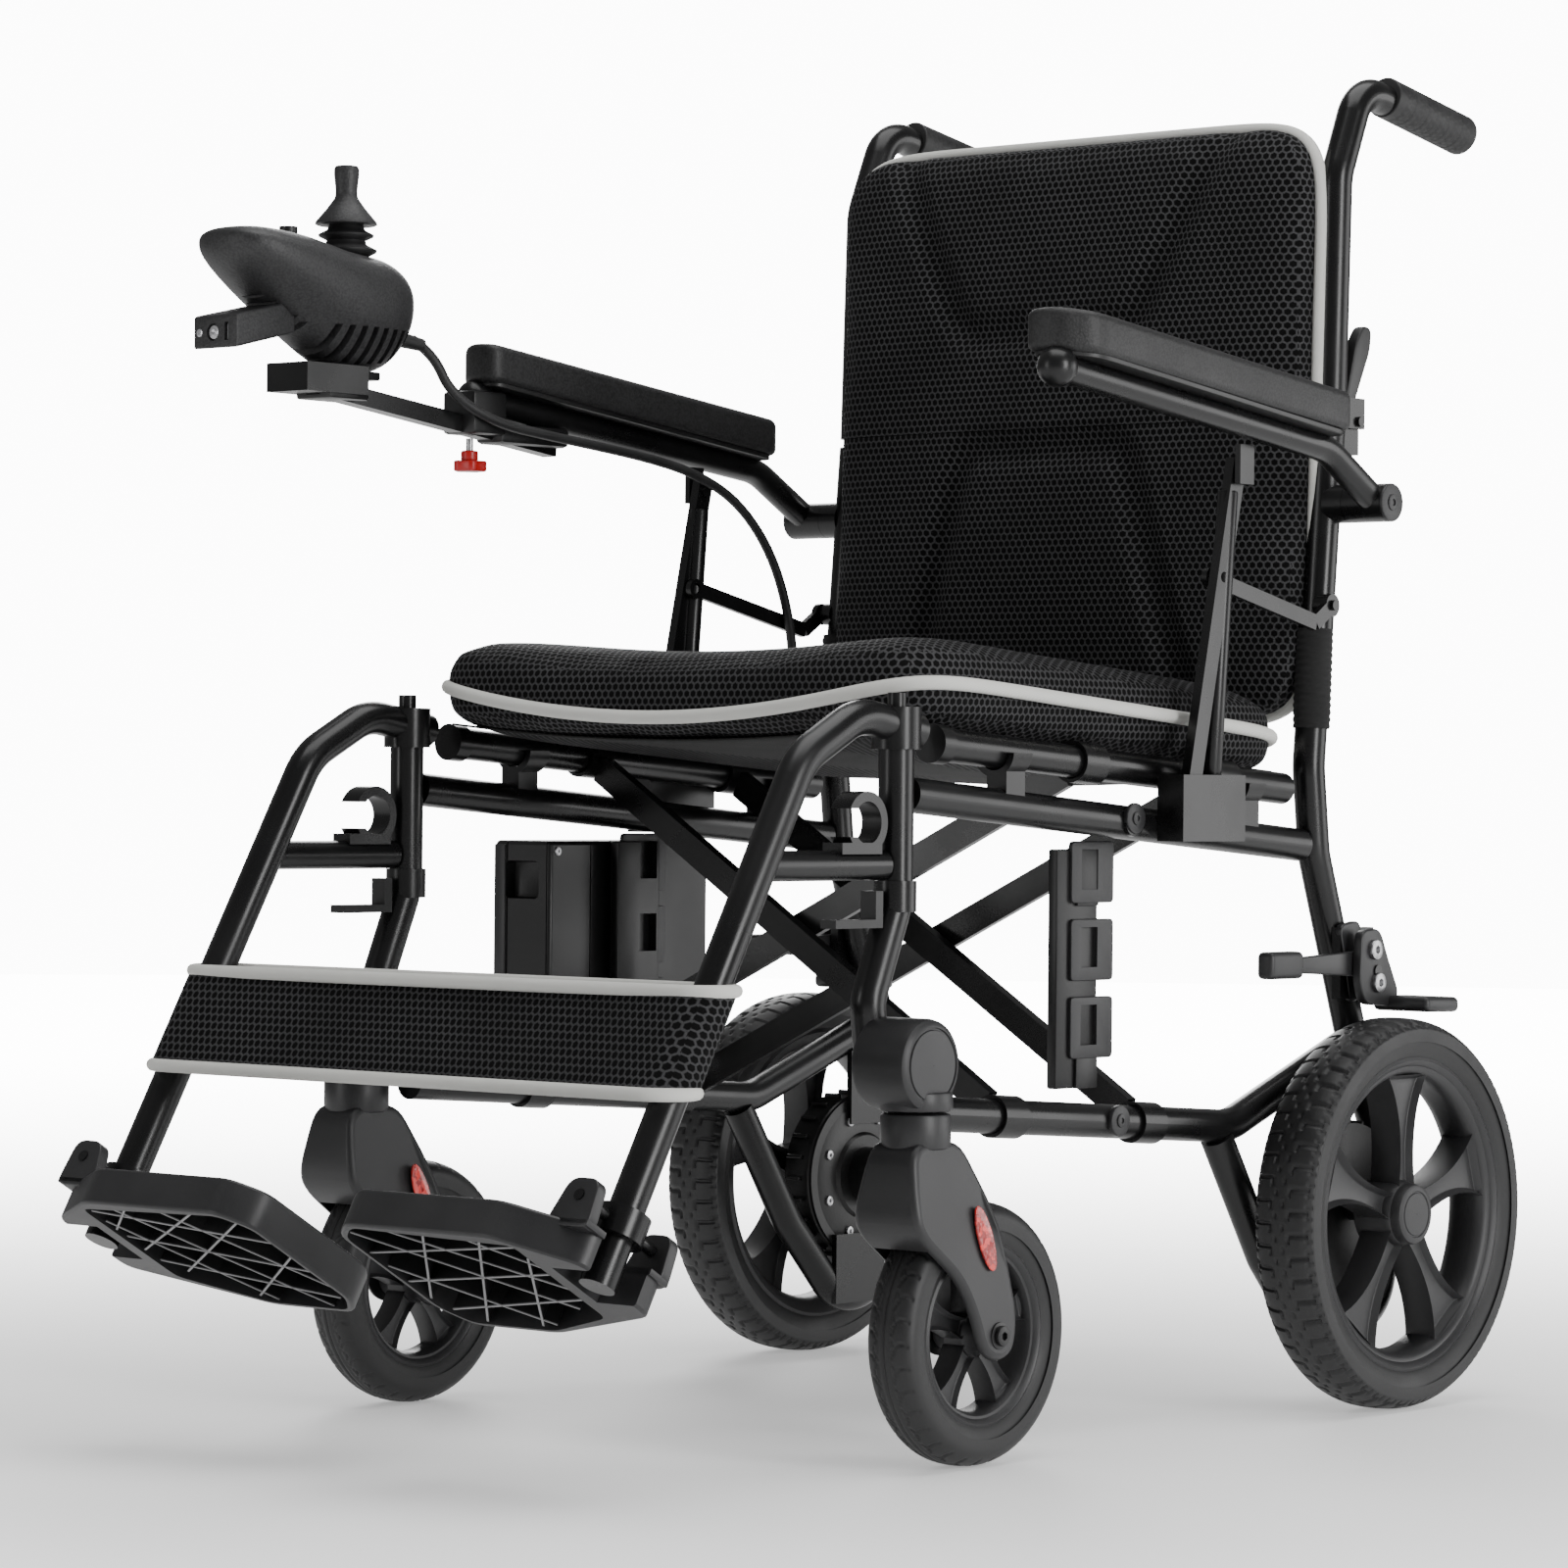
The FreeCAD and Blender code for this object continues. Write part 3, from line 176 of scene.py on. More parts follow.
def rod(name, start, end, radius, bevel=0.0, sides=32, radiusEnd=None):
    clearSelection()
    start, end = Vector(start), Vector(end)
    run = end - start
    bpy.ops.mesh.primitive_cone_add(vertices=sides, radius1=radius,
                                    radius2=radius if radiusEnd is None else radiusEnd,
                                    depth=run.length, location=(start + end) / 2)
    obj = bpy.context.object
    obj.rotation_euler = run.to_track_quat("Z", "Y").to_euler()
    obj.name = name
    settle(obj)
    if bevel:
        modify(obj, "BEVEL", width=bevel, segments=2, limit_method="ANGLE", angle_limit=math.radians(50))
    return smooth(obj)


def spun(name, profile, centre, steps, axis="X"):  # profile: closed list of (along, radius)
    clearSelection()
    bpy.ops.mesh.primitive_circle_add(vertices=len(profile), radius=1)
    obj = bpy.context.object
    obj.name = name
    along = {"X": Vector((1, 0, 0)), "Y": Vector((0, 1, 0)), "Z": Vector((0, 0, 1))}[axis]
    out = Vector((1, 0, 0)) if axis == "Z" else Vector((0, 0, 1))
    for vert, (shift, radius) in zip(obj.data.vertices, profile):
        vert.co = Vector(centre) + along * shift + out * radius
    only(obj)
    bpy.ops.object.mode_set(mode="EDIT")
    bpy.ops.mesh.select_all(action="SELECT")
    bpy.ops.mesh.spin(steps=steps, angle=2 * math.pi, center=centre, axis=along)
    leave()
    return cleaned(obj)


def line(name, points, radius, closed=False, order=3):  # a smooth round cord as a curve
    curve = bpy.data.curves.new(name, "CURVE")
    curve.dimensions = "3D"
    spline = curve.splines.new("NURBS")
    spline.points.add(len(points) - 1)
    for spot, point in zip(spline.points, points):
        spot.co = (*point, 1)
    spline.order_u = order
    if closed:
        spline.use_cyclic_u = True
    else:
        spline.use_endpoint_u = True
    spline.resolution_u = 6
    curve.bevel_depth = radius
    curve.bevel_resolution = 4
    curve.use_fill_caps = True
    obj = bpy.data.objects.new(name, curve)
    bpy.context.collection.objects.link(obj)
    return obj


def meshed(obj):
    only(obj)
    bpy.ops.object.convert(target="MESH")
    return smooth(bpy.context.object, 60)


# shader maths

class Wire:
    def __init__(self, tree, socket):
        self.tree = tree
        self.socket = socket

    def calc(self, operation, *others):
        return makeNode(self.tree, "ShaderNodeMath", {"operation": operation}, [self, *others])

    def __add__(self, other): return self.calc("ADD", other)
    __radd__ = __add__

    def __mul__(self, other): return self.calc("MULTIPLY", other)
    __rmul__ = __mul__

    def __sub__(self, other): return self.calc("SUBTRACT", other)

    def __rsub__(self, other): return makeNode(self.tree, "ShaderNodeMath", {"operation": "SUBTRACT"},
                                               [other, self])

    def __truediv__(self, other): return self.calc("DIVIDE", other)

    def __lt__(self, other): return self.calc("LESS_THAN", other)

    def __gt__(self, other): return self.calc("GREATER_THAN", other)

    def ramp(self, low, high):  # 0 below low, 1 above high
        return makeNode(self.tree, "ShaderNodeMapRange", {"interpolation_type": "SMOOTHSTEP"},
                        [self, low, high])


def makeNode(tree, kind, settings=None, values=(), out=0):
    node = tree.nodes.new(kind)
    for key, value in (settings or {}).items():
        setattr(node, key, value)
    pairs = values.items() if isinstance(values, dict) else enumerate(values)
    for key, value in pairs:
        if isinstance(value, Wire):
            tree.links.new(value.socket, node.inputs[key])
        elif value is not None:
            node.inputs[key].default_value = value
    return Wire(tree, node.outputs[out])


def blended(tree, amount, first, second):
    values = {0: amount, 6: first if isinstance(first, Wire) else (*first, 1),
              7: second if isinstance(second, Wire) else (*second, 1)}
    return makeNode(tree, "ShaderNodeMix", {"data_type": "RGBA"}, values, 2)


def noise(tree, coords, scale, detail=3.0, roughness=0.5):
    return makeNode(tree, "ShaderNodeTexNoise", {}, {"Vector": coords, "Scale": scale, "Detail": detail,
                                                    "Roughness": roughness})


def bumped(tree, height, strength, distance, normal=None):
    values = {"Strength": strength, "Distance": distance, "Height": height}
    if normal:
        values["Normal"] = normal
    return makeNode(tree, "ShaderNodeBump", {}, values)


def finish(name, build, **fixed):  # build(tree, coords) gives the linked sockets by name
    material = bpy.data.materials.new(name)
    material.use_nodes = True
    tree = material.node_tree
    shader = tree.nodes["Principled BSDF"]
    for key, value in fixed.items():
        shader.inputs[key.replace("_", " ")].default_value = value
    coords = makeNode(tree, "ShaderNodeTexCoord", out=3)
    for key, value in build(tree, coords).items():
        tree.links.new(value.socket, shader.inputs[key])
    return material


def split(tree, coords):
    node = tree.nodes.new("ShaderNodeSeparateXYZ")
    tree.links.new(coords.socket, node.inputs[0])
    return [Wire(tree, out) for out in node.outputs]


def coated(dark, light, rough, grain, depth, patches=9.0):
    def build(tree, coords):  # a sprayed or moulded skin: faint patches and a fine grain
        cloud = noise(tree, coords, patches, 4.0).ramp(0.35, 0.7)
        speck = noise(tree, coords, grain, 2.0)
        return {"Base Color": blended(tree, cloud, dark, light),
                "Roughness": rough + 0.1 * cloud - 0.05 * speck,
                "Normal": bumped(tree, speck, 0.25, depth)}
    return build


def netted(pitch, holeColourAndShade, rib, sheen=None):
    def build(tree, coords):  # hexagonal spacer mesh: near-black openings between raised ribs, black cloth with painted shade in the holes
        uv = makeNode(tree, "ShaderNodeTexCoord", out=2)
        spot = makeNode(tree, "ShaderNodeVectorMath", {"operation": "SCALE"}, {0: uv, 3: 1 / pitch})
        half = (0.5, 0.8660254, 0.5)
        least = (-0.5, -0.8660254, -0.5)
        near = makeNode(tree, "ShaderNodeVectorMath", {"operation": "WRAP"}, [spot, half, least])
        moved = makeNode(tree, "ShaderNodeVectorMath", {"operation": "ADD"}, [spot, half])
        far = makeNode(tree, "ShaderNodeVectorMath", {"operation": "WRAP"}, [moved, half, least])
        nx, ny, _ = split(tree, near)
        fx, fy, _ = split(tree, far)

        def cell(x, y):
            x, y = x.calc("ABSOLUTE"), y.calc("ABSOLUTE")
            return x.calc("MAXIMUM", 0.5 * x + 0.8660254 * y)

        reach = cell(nx, ny).calc("MINIMUM", cell(fx, fy))
        ribs = reach.ramp(0.30, 0.43)
        strand = noise(tree, coords, 900.0, 2.0)
        cloud = noise(tree, coords, 14.0, 3.0)
        # the openings take the near-black hole colour: black cloth darkened by painted shade where the holes sink
        # in
        colour = blended(tree, ribs, holeColourAndShade, rib)
        shade = blended(tree, (0.25 * strand + 0.4 * cloud).ramp(0.1, 0.6), (0.65, 0.65, 0.65),
                        (1.25, 1.25, 1.25))
        colour = makeNode(tree, "ShaderNodeVectorMath", {"operation": "MULTIPLY"}, [colour, shade])
        return {"Base Color": colour, "Roughness": 0.85 - 0.2 * ribs,
                "Normal": bumped(tree, ribs + 0.15 * strand, 0.9, 0.0012)}
    return build


def woven(dark, light, pitch):
    def build(tree, coords):
        x, y, z = split(tree, coords)
        warp = ((x + 0.6 * y) * (2 * math.pi / pitch)).calc("SINE")
        weft = ((z + 0.4 * y) * (2 * math.pi / pitch)).calc("SINE")
        thread = (warp * weft).ramp(-0.8, 0.8)
        cloud = noise(tree, coords, 30.0, 4.0)
        return {"Base Color": blended(tree, thread * 0.6 + cloud * 0.4, dark, light),
                "Roughness": 0.75 + 0.15 * cloud, "Normal": bumped(tree, thread, 0.5, 0.0004)}
    return build


def pebbled(dark, light, rough):
    def build(tree, coords):  # soft moulded foam skin
        cells = makeNode(tree, "ShaderNodeTexVoronoi", {"feature": "SMOOTH_F1"},
                         {"Vector": coords, "Scale": 620.0})
        speck = noise(tree, coords, 1400.0, 2.0)
        cloud = noise(tree, coords, 16.0, 3.0)
        return {"Base Color": blended(tree, cells.ramp(0.15, 0.75), light, dark),
                "Roughness": rough + 0.2 * cloud,
                "Normal": bumped(tree, cells * 0.7 + speck * 0.3, 0.5, 0.0006)}
    return build


def faceted(dark, light):
    def build(tree, coords):  # reflector with small triangular prisms behind a clear face
        cells = makeNode(tree, "ShaderNodeTexVoronoi", {"feature": "F1", "distance": "MANHATTAN"},
                         {"Vector": coords, "Scale": 210.0})
        tint = makeNode(tree, "ShaderNodeTexVoronoi", {"feature": "F1", "distance": "MANHATTAN"},
                        {"Vector": coords, "Scale": 210.0}, 1)
        amount = split(tree, tint)[0]
        return {"Base Color": blended(tree, amount.ramp(0.25, 0.75), dark, light),
                "Roughness": 0.12 + 0.25 * amount, "Normal": bumped(tree, cells, 0.7, 0.001)}
    return build


def turnedMetal(dark, light, rough):
    def build(tree, coords):
        marks = noise(tree, coords, 420.0, 4.0, 0.7)
        return {"Base Color": blended(tree, marks.ramp(0.3, 0.7), dark, light),
                "Roughness": rough + 0.15 * marks, "Normal": bumped(tree, marks, 0.15, 0.0002)}
    return build


finishes = {
    "frameBlack": finish("satinBlackCoat",
                         coated((0.0035, 0.0035, 0.0037), (0.006, 0.006, 0.0063), 0.27, 900.0, 0.0001),
                         Specular_IOR_Level=0.42),
    "greyPlastic": finish("charcoalPlastic",
                          coated((0.016, 0.016, 0.017), (0.022, 0.022, 0.023), 0.42, 1100.0, 0.0002)),
    "darkPlastic": finish("blackPlastic",
                          coated((0.004, 0.004, 0.0042), (0.008, 0.008, 0.0083), 0.38, 1100.0, 0.0002)),
    "casePlastic": finish("controllerShell", pebbled((0.014, 0.014, 0.015), (0.030, 0.030, 0.031), 0.40)),
    "tyreRubber": finish("tyreRubber",
                         coated((0.008, 0.008, 0.0084), (0.013, 0.013, 0.0135), 0.50, 500.0, 0.0002, 22.0)),
    "gripRubber": finish("gripRubber",
                         coated((0.008, 0.008, 0.0084), (0.014, 0.014, 0.0145), 0.55, 700.0, 0.0002, 30.0)),
    "padSkin": finish("padSkin", pebbled((0.004, 0.004, 0.0042), (0.016, 0.016, 0.0165), 0.42)),
    "meshCloth": finish("honeycombMesh", netted(0.0062, (0.0006, 0.0006, 0.0006), (0.050, 0.050, 0.052)),
                        Specular_IOR_Level=0.15),
    "plainCloth": finish("blackCloth", woven((0.002, 0.002, 0.002), (0.010, 0.010, 0.010), 0.0011)),
    "piping": finish("palePiping", woven((0.60, 0.60, 0.57), (0.74, 0.74, 0.70), 0.0012)),
    "redPlastic": finish("redPlastic",
                         coated((0.42, 0.006, 0.006), (0.55, 0.012, 0.012), 0.28, 600.0, 0.0001)),
    "reflector": finish("redReflector", faceted((0.35, 0.004, 0.004), (0.85, 0.04, 0.03)), Coat_Weight=1.0),
    "steel": finish("plainSteel", turnedMetal((0.35, 0.35, 0.36), (0.6, 0.6, 0.61), 0.25), Metallic=1.0),
    "motorBlack": finish("motorCasting",
                         coated((0.003, 0.003, 0.003), (0.007, 0.007, 0.0073), 0.40, 350.0, 0.0004)),
    # painted highlight: light grey for the thin strips along the foot ribs' lower edges, standing in for light
    # catching them
    "ribEdge": finish("ribEdge", coated((0.16, 0.16, 0.165), (0.24, 0.24, 0.245), 0.35, 900.0, 0.0001)),
    "lampClear": finish("lampLens", turnedMetal((0.5, 0.5, 0.52), (0.8, 0.8, 0.82), 0.05), Metallic=0.7),
}


def keep(obj, name, body, look, *nodes):  # name, paint and hang a finished piece on its body
    obj.name = name
    obj.data.materials.clear()
    obj.data.materials.append(finishes[look])
    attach(obj, body)
    if nodes:
        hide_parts(*nodes)
    return obj


def keepPair(obj, name, body, look, *nodes):  # the left piece and its mirror image
    twin = mirrored(obj, name + "_right")
    keep(obj, name + "_left", body + "_left" if not body.endswith("frame") else "left_frame", look,
         *[node + "_left" for node in nodes])
    keep(twin, name + "_right", body + "_right" if not body.endswith("frame") else "right_frame", look,
         *[node + "_right" for node in nodes])
    return obj, twin


# finishes of the carried-over solids

nodeLooks = {"rear_tyre": "tyreRubber", "caster_tyre": "tyreRubber", "push_grip": "gripRubber",
             "arm_pad": "padSkin",
             "battery": "darkPlastic", "controller_case": "casePlastic", "joystick": "casePlastic",
             "joystick_gimbal": "darkPlastic", "power_button": "darkPlastic", "clamp_knob": "redPlastic",
             "controller_lead": "gripRubber", "battery_dock": "greyPlastic", "caster_housing": "greyPlastic",
             "caster_fork": "greyPlastic", "caster_wheel": "greyPlastic", "rear_wheel": "greyPlastic",
             "footplate": "greyPlastic", "motor": "motorBlack", "brake_lever": "greyPlastic",
             "hanger_lever": "darkPlastic", "seat_cushion": "plainCloth", "back_cushion_lower": "plainCloth",
             "back_cushion_upper": "plainCloth", "calf_strap": "plainCloth"}
for label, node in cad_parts.items():
    look = nodeLooks.get(label.replace("_left", "").replace("_right", ""), "frameBlack")
    node.data.materials.clear()
    node.data.materials.append(finishes[look])
print("finishes on the solids")

# cushions: a rounded pillow blown up by cloth, then the sewn channels

def pillow(name, half, place, rim, puffTop, puffLow, pinch, power=6.0, cuts=60):
    # half is half the width and depth, rim(a, b) the seam's height
    # puffTop and puffLow stand above and below it
    clearSelection()
    bpy.ops.mesh.primitive_cube_add(size=2, location=(0, 0, 0))
    obj = bpy.context.object
    obj.name = name
    only(obj)
    bpy.ops.object.mode_set(mode="EDIT")
    bpy.ops.mesh.subdivide(number_cuts=cuts)
    leave()
    for vert in obj.data.vertices:
        a, b, c = vert.co
        reach = max(abs(a), abs(b))
        spread = (abs(a) ** power + abs(b) ** power) ** (1 / power)
        a, b = (a * reach / spread, b * reach / spread) if spread else (a, b)
        rise = 1 - reach ** 7 if abs(c) > 0.999 else 0
        level = abs(c)
        shrink = 1 - pinch * (1 - math.sqrt(max(0, 1 - level ** 2.2)))
        puff = (puffTop if c > 0 else puffLow)(a, b)
        top = puff * (0.72 * math.sin(level * math.pi / 2) + 0.28 * rise)
        x, y = a * half[0] * shrink, b * half[1] * shrink
        vert.co = place(x, y, rim(a, b) + (top if c > 0 else -top))
    return cleaned(obj)


def reach(obj):
    return [(min(row), max(row)) for row in zip(*(vert.co for vert in obj.data.vertices))]


def inflate(obj, pressure, cap, voxel=0.005):  # blown up by cloth, no point moving further than the cap
    cutSize = reach(obj)
    modify(obj, "REMESH", mode="VOXEL", voxel_size=voxel)
    before = [vert.co.copy() for vert in obj.data.vertices]
    only(obj)
    cloth = obj.modifiers.new("cloth", "CLOTH")
    cloth.settings.use_pressure = True
    cloth.settings.uniform_pressure_force = pressure
    cloth.settings.effector_weights.gravity = 0
    cloth.settings.quality = 4
    cloth.settings.tension_stiffness = 40
    cloth.settings.compression_stiffness = 40
    cloth.point_cache.frame_start = 1
    cloth.point_cache.frame_end = 20
    for moment in range(1, 21):
        bpy.context.scene.frame_set(moment)
    only(obj)
    bpy.ops.object.modifier_apply(modifier="cloth")
    for vert, old in zip(obj.data.vertices, before):
        move = vert.co - old
        if move.length > cap:
            vert.co = old + move * (cap / move.length)
    bpy.context.scene.frame_set(1)
    modify(obj, "SMOOTH", iterations=4, factor=0.5)
    modify(obj, "SUBSURF", levels=1, render_levels=1)
    for k, (old, new) in enumerate(zip(cutSize, reach(obj))):  # its edge is drawn back out to the cord
        if old[1] - old[0] > 0.2:
            grow = (old[1] - old[0]) / (new[1] - new[0])
            for vert in obj.data.vertices:
                vert.co[k] = old[0] + (vert.co[k] - new[0]) * grow
    return obj


def nearPath(x, y, path):  # distance to a run of points
    best = 9
    for (x0, y0), (x1, y1) in zip(path, path[1:]):
        dx, dy = x1 - x0, y1 - y0
        share = max(0, min(1, ((x - x0) * dx + (y - y0) * dy) / (dx * dx + dy * dy)))
        best = min(best, math.hypot(x - x0 - share * dx, y - y0 - share * dy))
    return best


def flatWeave(obj):  # lays the mesh pattern over each face from its own side
    only(obj)
    bpy.ops.object.mode_set(mode="EDIT")
    bpy.ops.mesh.select_all(action="SELECT")
    bpy.ops.uv.cube_project(cube_size=1, correct_aspect=False, scale_to_bounds=False)
    leave()


def rounded(points, radius, steps=5):  # a closed or open plan with arcs at its inner points
    result = [points[0]]
    for before, corner, after in zip(points, points[1:], points[2:]):
        a = (Vector(before) - Vector(corner)).normalized()
        b = (Vector(after) - Vector(corner)).normalized()
        for k in range(steps + 1):
            t = k / steps
            spot = Vector(corner) + a * radius * (1 - t) ** 2 + b * radius * t ** 2
            result.append(tuple(spot))
    return result + [points[-1]]


seat = {"halfWide": 0.243, "front": -0.132, "rear": 0.352, "cornerHeight": 0.561, "fall": 0.0800,
        "sag": 0.030,
        "topCrown": 0.036, "foot": 0.522, "footFall": 0.0681, "pipe": 0.0052}
seatMiddle = (seat["front"] + seat["rear"]) / 2
seatReach = (seat["rear"] - seat["front"]) / 2


def seatRim(a, b):  # the seam dips between the rails and falls towards the back
    y = seatMiddle + b * seatReach
    sunk = seat["sag"] * (1 - a * a) * (0.8 - 0.2 * b)
    return seat["cornerHeight"] - seat["fall"] * (y - seat["front"]) - sunk


def seatTop(a, b):
    return seat["topCrown"] + 0.014 * (1 - a * a)


def seatUnder(a, b):
    y = seatMiddle + b * seatReach
    return max(0.004, seatRim(a, b) - (seat["foot"] - seat["footFall"] * (y - seat["front"])))


seatPad = pillow("seatPad", (seat["halfWide"], seatReach), lambda x, y, z: (x, y + seatMiddle, z), seatRim,
                 seatTop,
                 seatUnder, 0.075, 9.0)
inflate(seatPad, 4, 0.006)
flatWeave(seatPad)
print("seat cushion")

back = {"halfWide": 0.2335, "low": 0.538, "top": 1.004, "face": 0.374, "lean": 0.030, "thick": 0.026,
        "behind": 0.007,
        "pipe": 0.0055, "groove": 0.009, "hinge": 0.772}
backMiddle = (back["low"] + back["top"]) / 2
backReach = (back["top"] - back["low"]) / 2
upperSeam = rounded([(-0.175, 1.02), (-0.090, 0.852), (0.080, 0.852), (0.170, 1.02)], 0.020)
lowerSeam = rounded([(-0.152, 0.50), (-0.086, 0.757), (0.076, 0.757), (0.152, 0.50)], 0.020)


def backFace(z):
    return back["face"] + back["lean"] * (z - back["low"])


backPad = pillow("backPad", (back["halfWide"], backReach), lambda x, y,
                 z: (x, backFace(y + backMiddle) - z, y + backMiddle),
                 lambda a, b: 0.0, lambda a, b: back["thick"] + 0.010 * (1 - a * a), lambda a,
                 b: back["behind"],
                 0.040, 11.0)
cleaned(backPad)
inflate(backPad, 4, 0.006)
for vert in backPad.data.vertices:  # the channels are sewn in afterwards
    x, y, z = vert.co
    if y < backFace(z) - 0.004:
        path = min(nearPath(x, z, upperSeam), nearPath(x, z, lowerSeam))
        if path < 0.022:
            share = path / 0.022
            vert.co.y += back["groove"] * (1 - share * share * (3 - 2 * share))
flatWeave(backPad)


def halved(obj, name, height, above):  # cut at the back's hinge so that each half goes with its own canes
    part = copied(obj, name)
    only(part)
    bpy.ops.object.mode_set(mode="EDIT")
    bpy.ops.mesh.select_all(action="SELECT")
    bpy.ops.mesh.bisect(plane_co=(0, 0, height), plane_no=(0, 0, 1), use_fill=True, clear_inner=above,
                        clear_outer=not above)
    leave()
    return smooth(part, 60)


backUpper = halved(backPad, "backPadUpper", back["hinge"] + 0.0003, True)
backLower = halved(backPad, "backPadLower", back["hinge"] - 0.0003, False)
only(backPad)
bpy.ops.object.delete()
print("back cushion")


def plan(halfX, halfY, power, count):  # points round the cushion's own outline
    spots = []
    for k in range(count):
        angle = 2 * math.pi * k / count
        a, b = math.cos(angle), math.sin(angle)
        spread = (abs(a) ** power + abs(b) ** power) ** (1 / power)
        spots.append((a / spread, b / spread))
    return [(a, b, a * halfX, b * halfY) for a, b in spots]


seatCord = meshed(line("seatCord", [(x, y + seatMiddle, seatRim(a, b)) for a, b, x, y in
                                    plan(seat["halfWide"] + 0.003, seatReach + 0.003, 9.0, 96)],
                                    seat["pipe"], True))
backCord = meshed(line("backCord", [(x, backFace(y + backMiddle), y + backMiddle) for a, b, x, y in
                                    plan(back["halfWide"] + 0.003, backReach + 0.002, 11.0, 120)],
                                    back["pipe"], True))
backCordUpper = halved(backCord, "backCordUpper", back["hinge"] + 0.0003, True)
backCordLower = halved(backCord, "backCordLower", back["hinge"] - 0.0003, False)
only(backCord)
bpy.ops.object.delete()


def padPiece(obj, name, body, joint, anchor, *nodes):
    keep(obj, name, body, "meshCloth", *nodes)
    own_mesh(obj)


padPiece(smooth(seatPad, 60), "seatPad", "seat_right", "fold", (-0.238, 0.1, 0.53), "seat_cushion")
padPiece(backLower, "backPadLower", "right_frame", "fold", (-0.241, 0.38, 0.65), "back_cushion_lower")
padPiece(backUpper, "backPadUpper", "back_right", "fold", (-0.241, 0.38, 0.88), "back_cushion_upper")
for cordPiece, name, body, anchor in ((seatCord, "seatPiping", "seat_right", (-0.238, 0.1, 0.53)),
                                      (backCordLower, "backPipingLower", "right_frame", (-0.241, 0.38, 0.65)),
                                      (backCordUpper, "backPipingUpper", "back_right", (-0.241, 0.38, 0.88))):
    keep(cordPiece, name, body, "piping")
    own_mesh(cordPiece)

# the sling under the seat cushion: a flat cloth between the rails
sling = box("seatSling", (-0.226, -0.112, 0.512), (0.226, 0.340, 0.5135), 0.0004, 1)
only(sling)
bpy.ops.object.mode_set(mode="EDIT")
bpy.ops.mesh.select_all(action="SELECT")
bpy.ops.mesh.subdivide(number_cuts=24)
leave()
for vert in sling.data.vertices:
    vert.co.z += 0.0125 - 0.0681 * (vert.co.y + 0.094) - 0.012 * (1 - (vert.co.x / 0.226) ** 2)
keep(smooth(sling, 60), "seatSling", "seat_right", "plainCloth")
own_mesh(sling)

# calf strap: a mesh band that wraps the two hanger tubes, bound with pale cord top and bottom

calf = {"top": 0.3415, "low": 0.2735, "outer": 0.2545, "wall": 0.0035, "lean": 0.5824, "bend": 0.021,
        "cord": 0.0048}


def tubeY(z):  # line of the hanger tubes
    return -0.252 + calf["lean"] * (z - 0.500)


def strapLine(grow=0.0):  # plan of the band as (x, y from the tube's line), round both tubes
    reach = calf["bend"] + grow
    spots = []
    for side in (1, -1):
        for k in range(0, 13):
            angle = math.radians(-90 + 15 * k) if side == 1 else math.radians(90 + 15 * k)
            spots.append((side * (calf["outer"] - calf["bend"]) + reach * math.cos(angle),
                          reach * math.sin(angle)))
    return spots


clearSelection()
bpy.ops.mesh.primitive_circle_add(vertices=26, radius=1)
strap = bpy.context.object
for vert, (x, y) in zip(strap.data.vertices, strapLine()):
    vert.co = (x, y + tubeY(calf["low"]), calf["low"])
only(strap)
bpy.ops.object.mode_set(mode="EDIT")
bpy.ops.mesh.select_all(action="SELECT")
bpy.ops.mesh.extrude_edges_move(TRANSFORM_OT_translate={
    "value": (0, tubeY(calf["top"]) - tubeY(calf["low"]), calf["top"] - calf["low"])})
leave()
pick(strap, lambda middle, along: abs(along.x) > 0.99, "EDGE")
bpy.ops.mesh.subdivide(number_cuts=31)
leave()
pick(strap, lambda middle, along: abs(along.z) > 0.5, "EDGE")
bpy.ops.mesh.subdivide(number_cuts=9)
leave()
cleaned(strap)
clearSelection()
only(strap)
bpy.ops.object.mode_set(mode="EDIT")
bpy.ops.mesh.select_all(action="SELECT")
bpy.ops.uv.cube_project(cube_size=1, correct_aspect=False, scale_to_bounds=False)
leave()
modify(strap, "SOLIDIFY", thickness=calf["wall"], offset=1)
for vert in strap.data.vertices:  # the middle of the band hangs slack by a few millimetres
    vert.co.y += 0.006 * math.cos(vert.co.x / 0.24 * math.pi / 2) * (1 if abs(vert.co.x) < 0.24 else 0)
keep(smooth(strap, 60), "calfStrap", "hanger_left", "meshCloth", "calf_strap")
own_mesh(strap)
for name, height in (("calfPipingTop", calf["top"]), ("calfPipingLow", calf["low"])):
    rim = meshed(line(name, [(x, y + tubeY(height), height) for x, y in strapLine(0.002)], calf["cord"],
                      True))
    keep(rim, name, "hanger_left", "piping")
    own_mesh(rim)
print("calf strap")

# tyres: a spun ring whose tread is pressed in

# closed run of (along, radius), dense across the tread
def ringProfile(halfWide, outer, inner, crown, dense):
    spots = []
    for k in range(dense + 1):
        t = -1 + 2 * k / dense
        along = math.sin(t * math.pi / 2 * 0.92) / math.sin(math.pi / 2 * 0.92)
        bulge = (1 - abs(along) ** 2.6) ** (1 / 2.2) if abs(along) < 1 else 0
        spots.append((halfWide * along, outer - crown + crown * bulge))
    wall = [(halfWide * 1.0, outer - crown - 0.006), (halfWide * 0.97, (outer + inner) / 2 + 0.002),
            (halfWide * 0.88, inner + 0.004), (halfWide * 0.76, inner)]
    return spots + wall + [(-x, r) for x, r in reversed(wall)]


def smoothStep(value, low, high):
    t = max(0.0, min(1.0, (value - low) / (high - low)))
    return t * t * (3 - 2 * t)


def band(value, middle, half, soft):  # 1 inside a band, 0 outside it
    return 1 - smoothStep(abs(value - middle), half, half + soft)


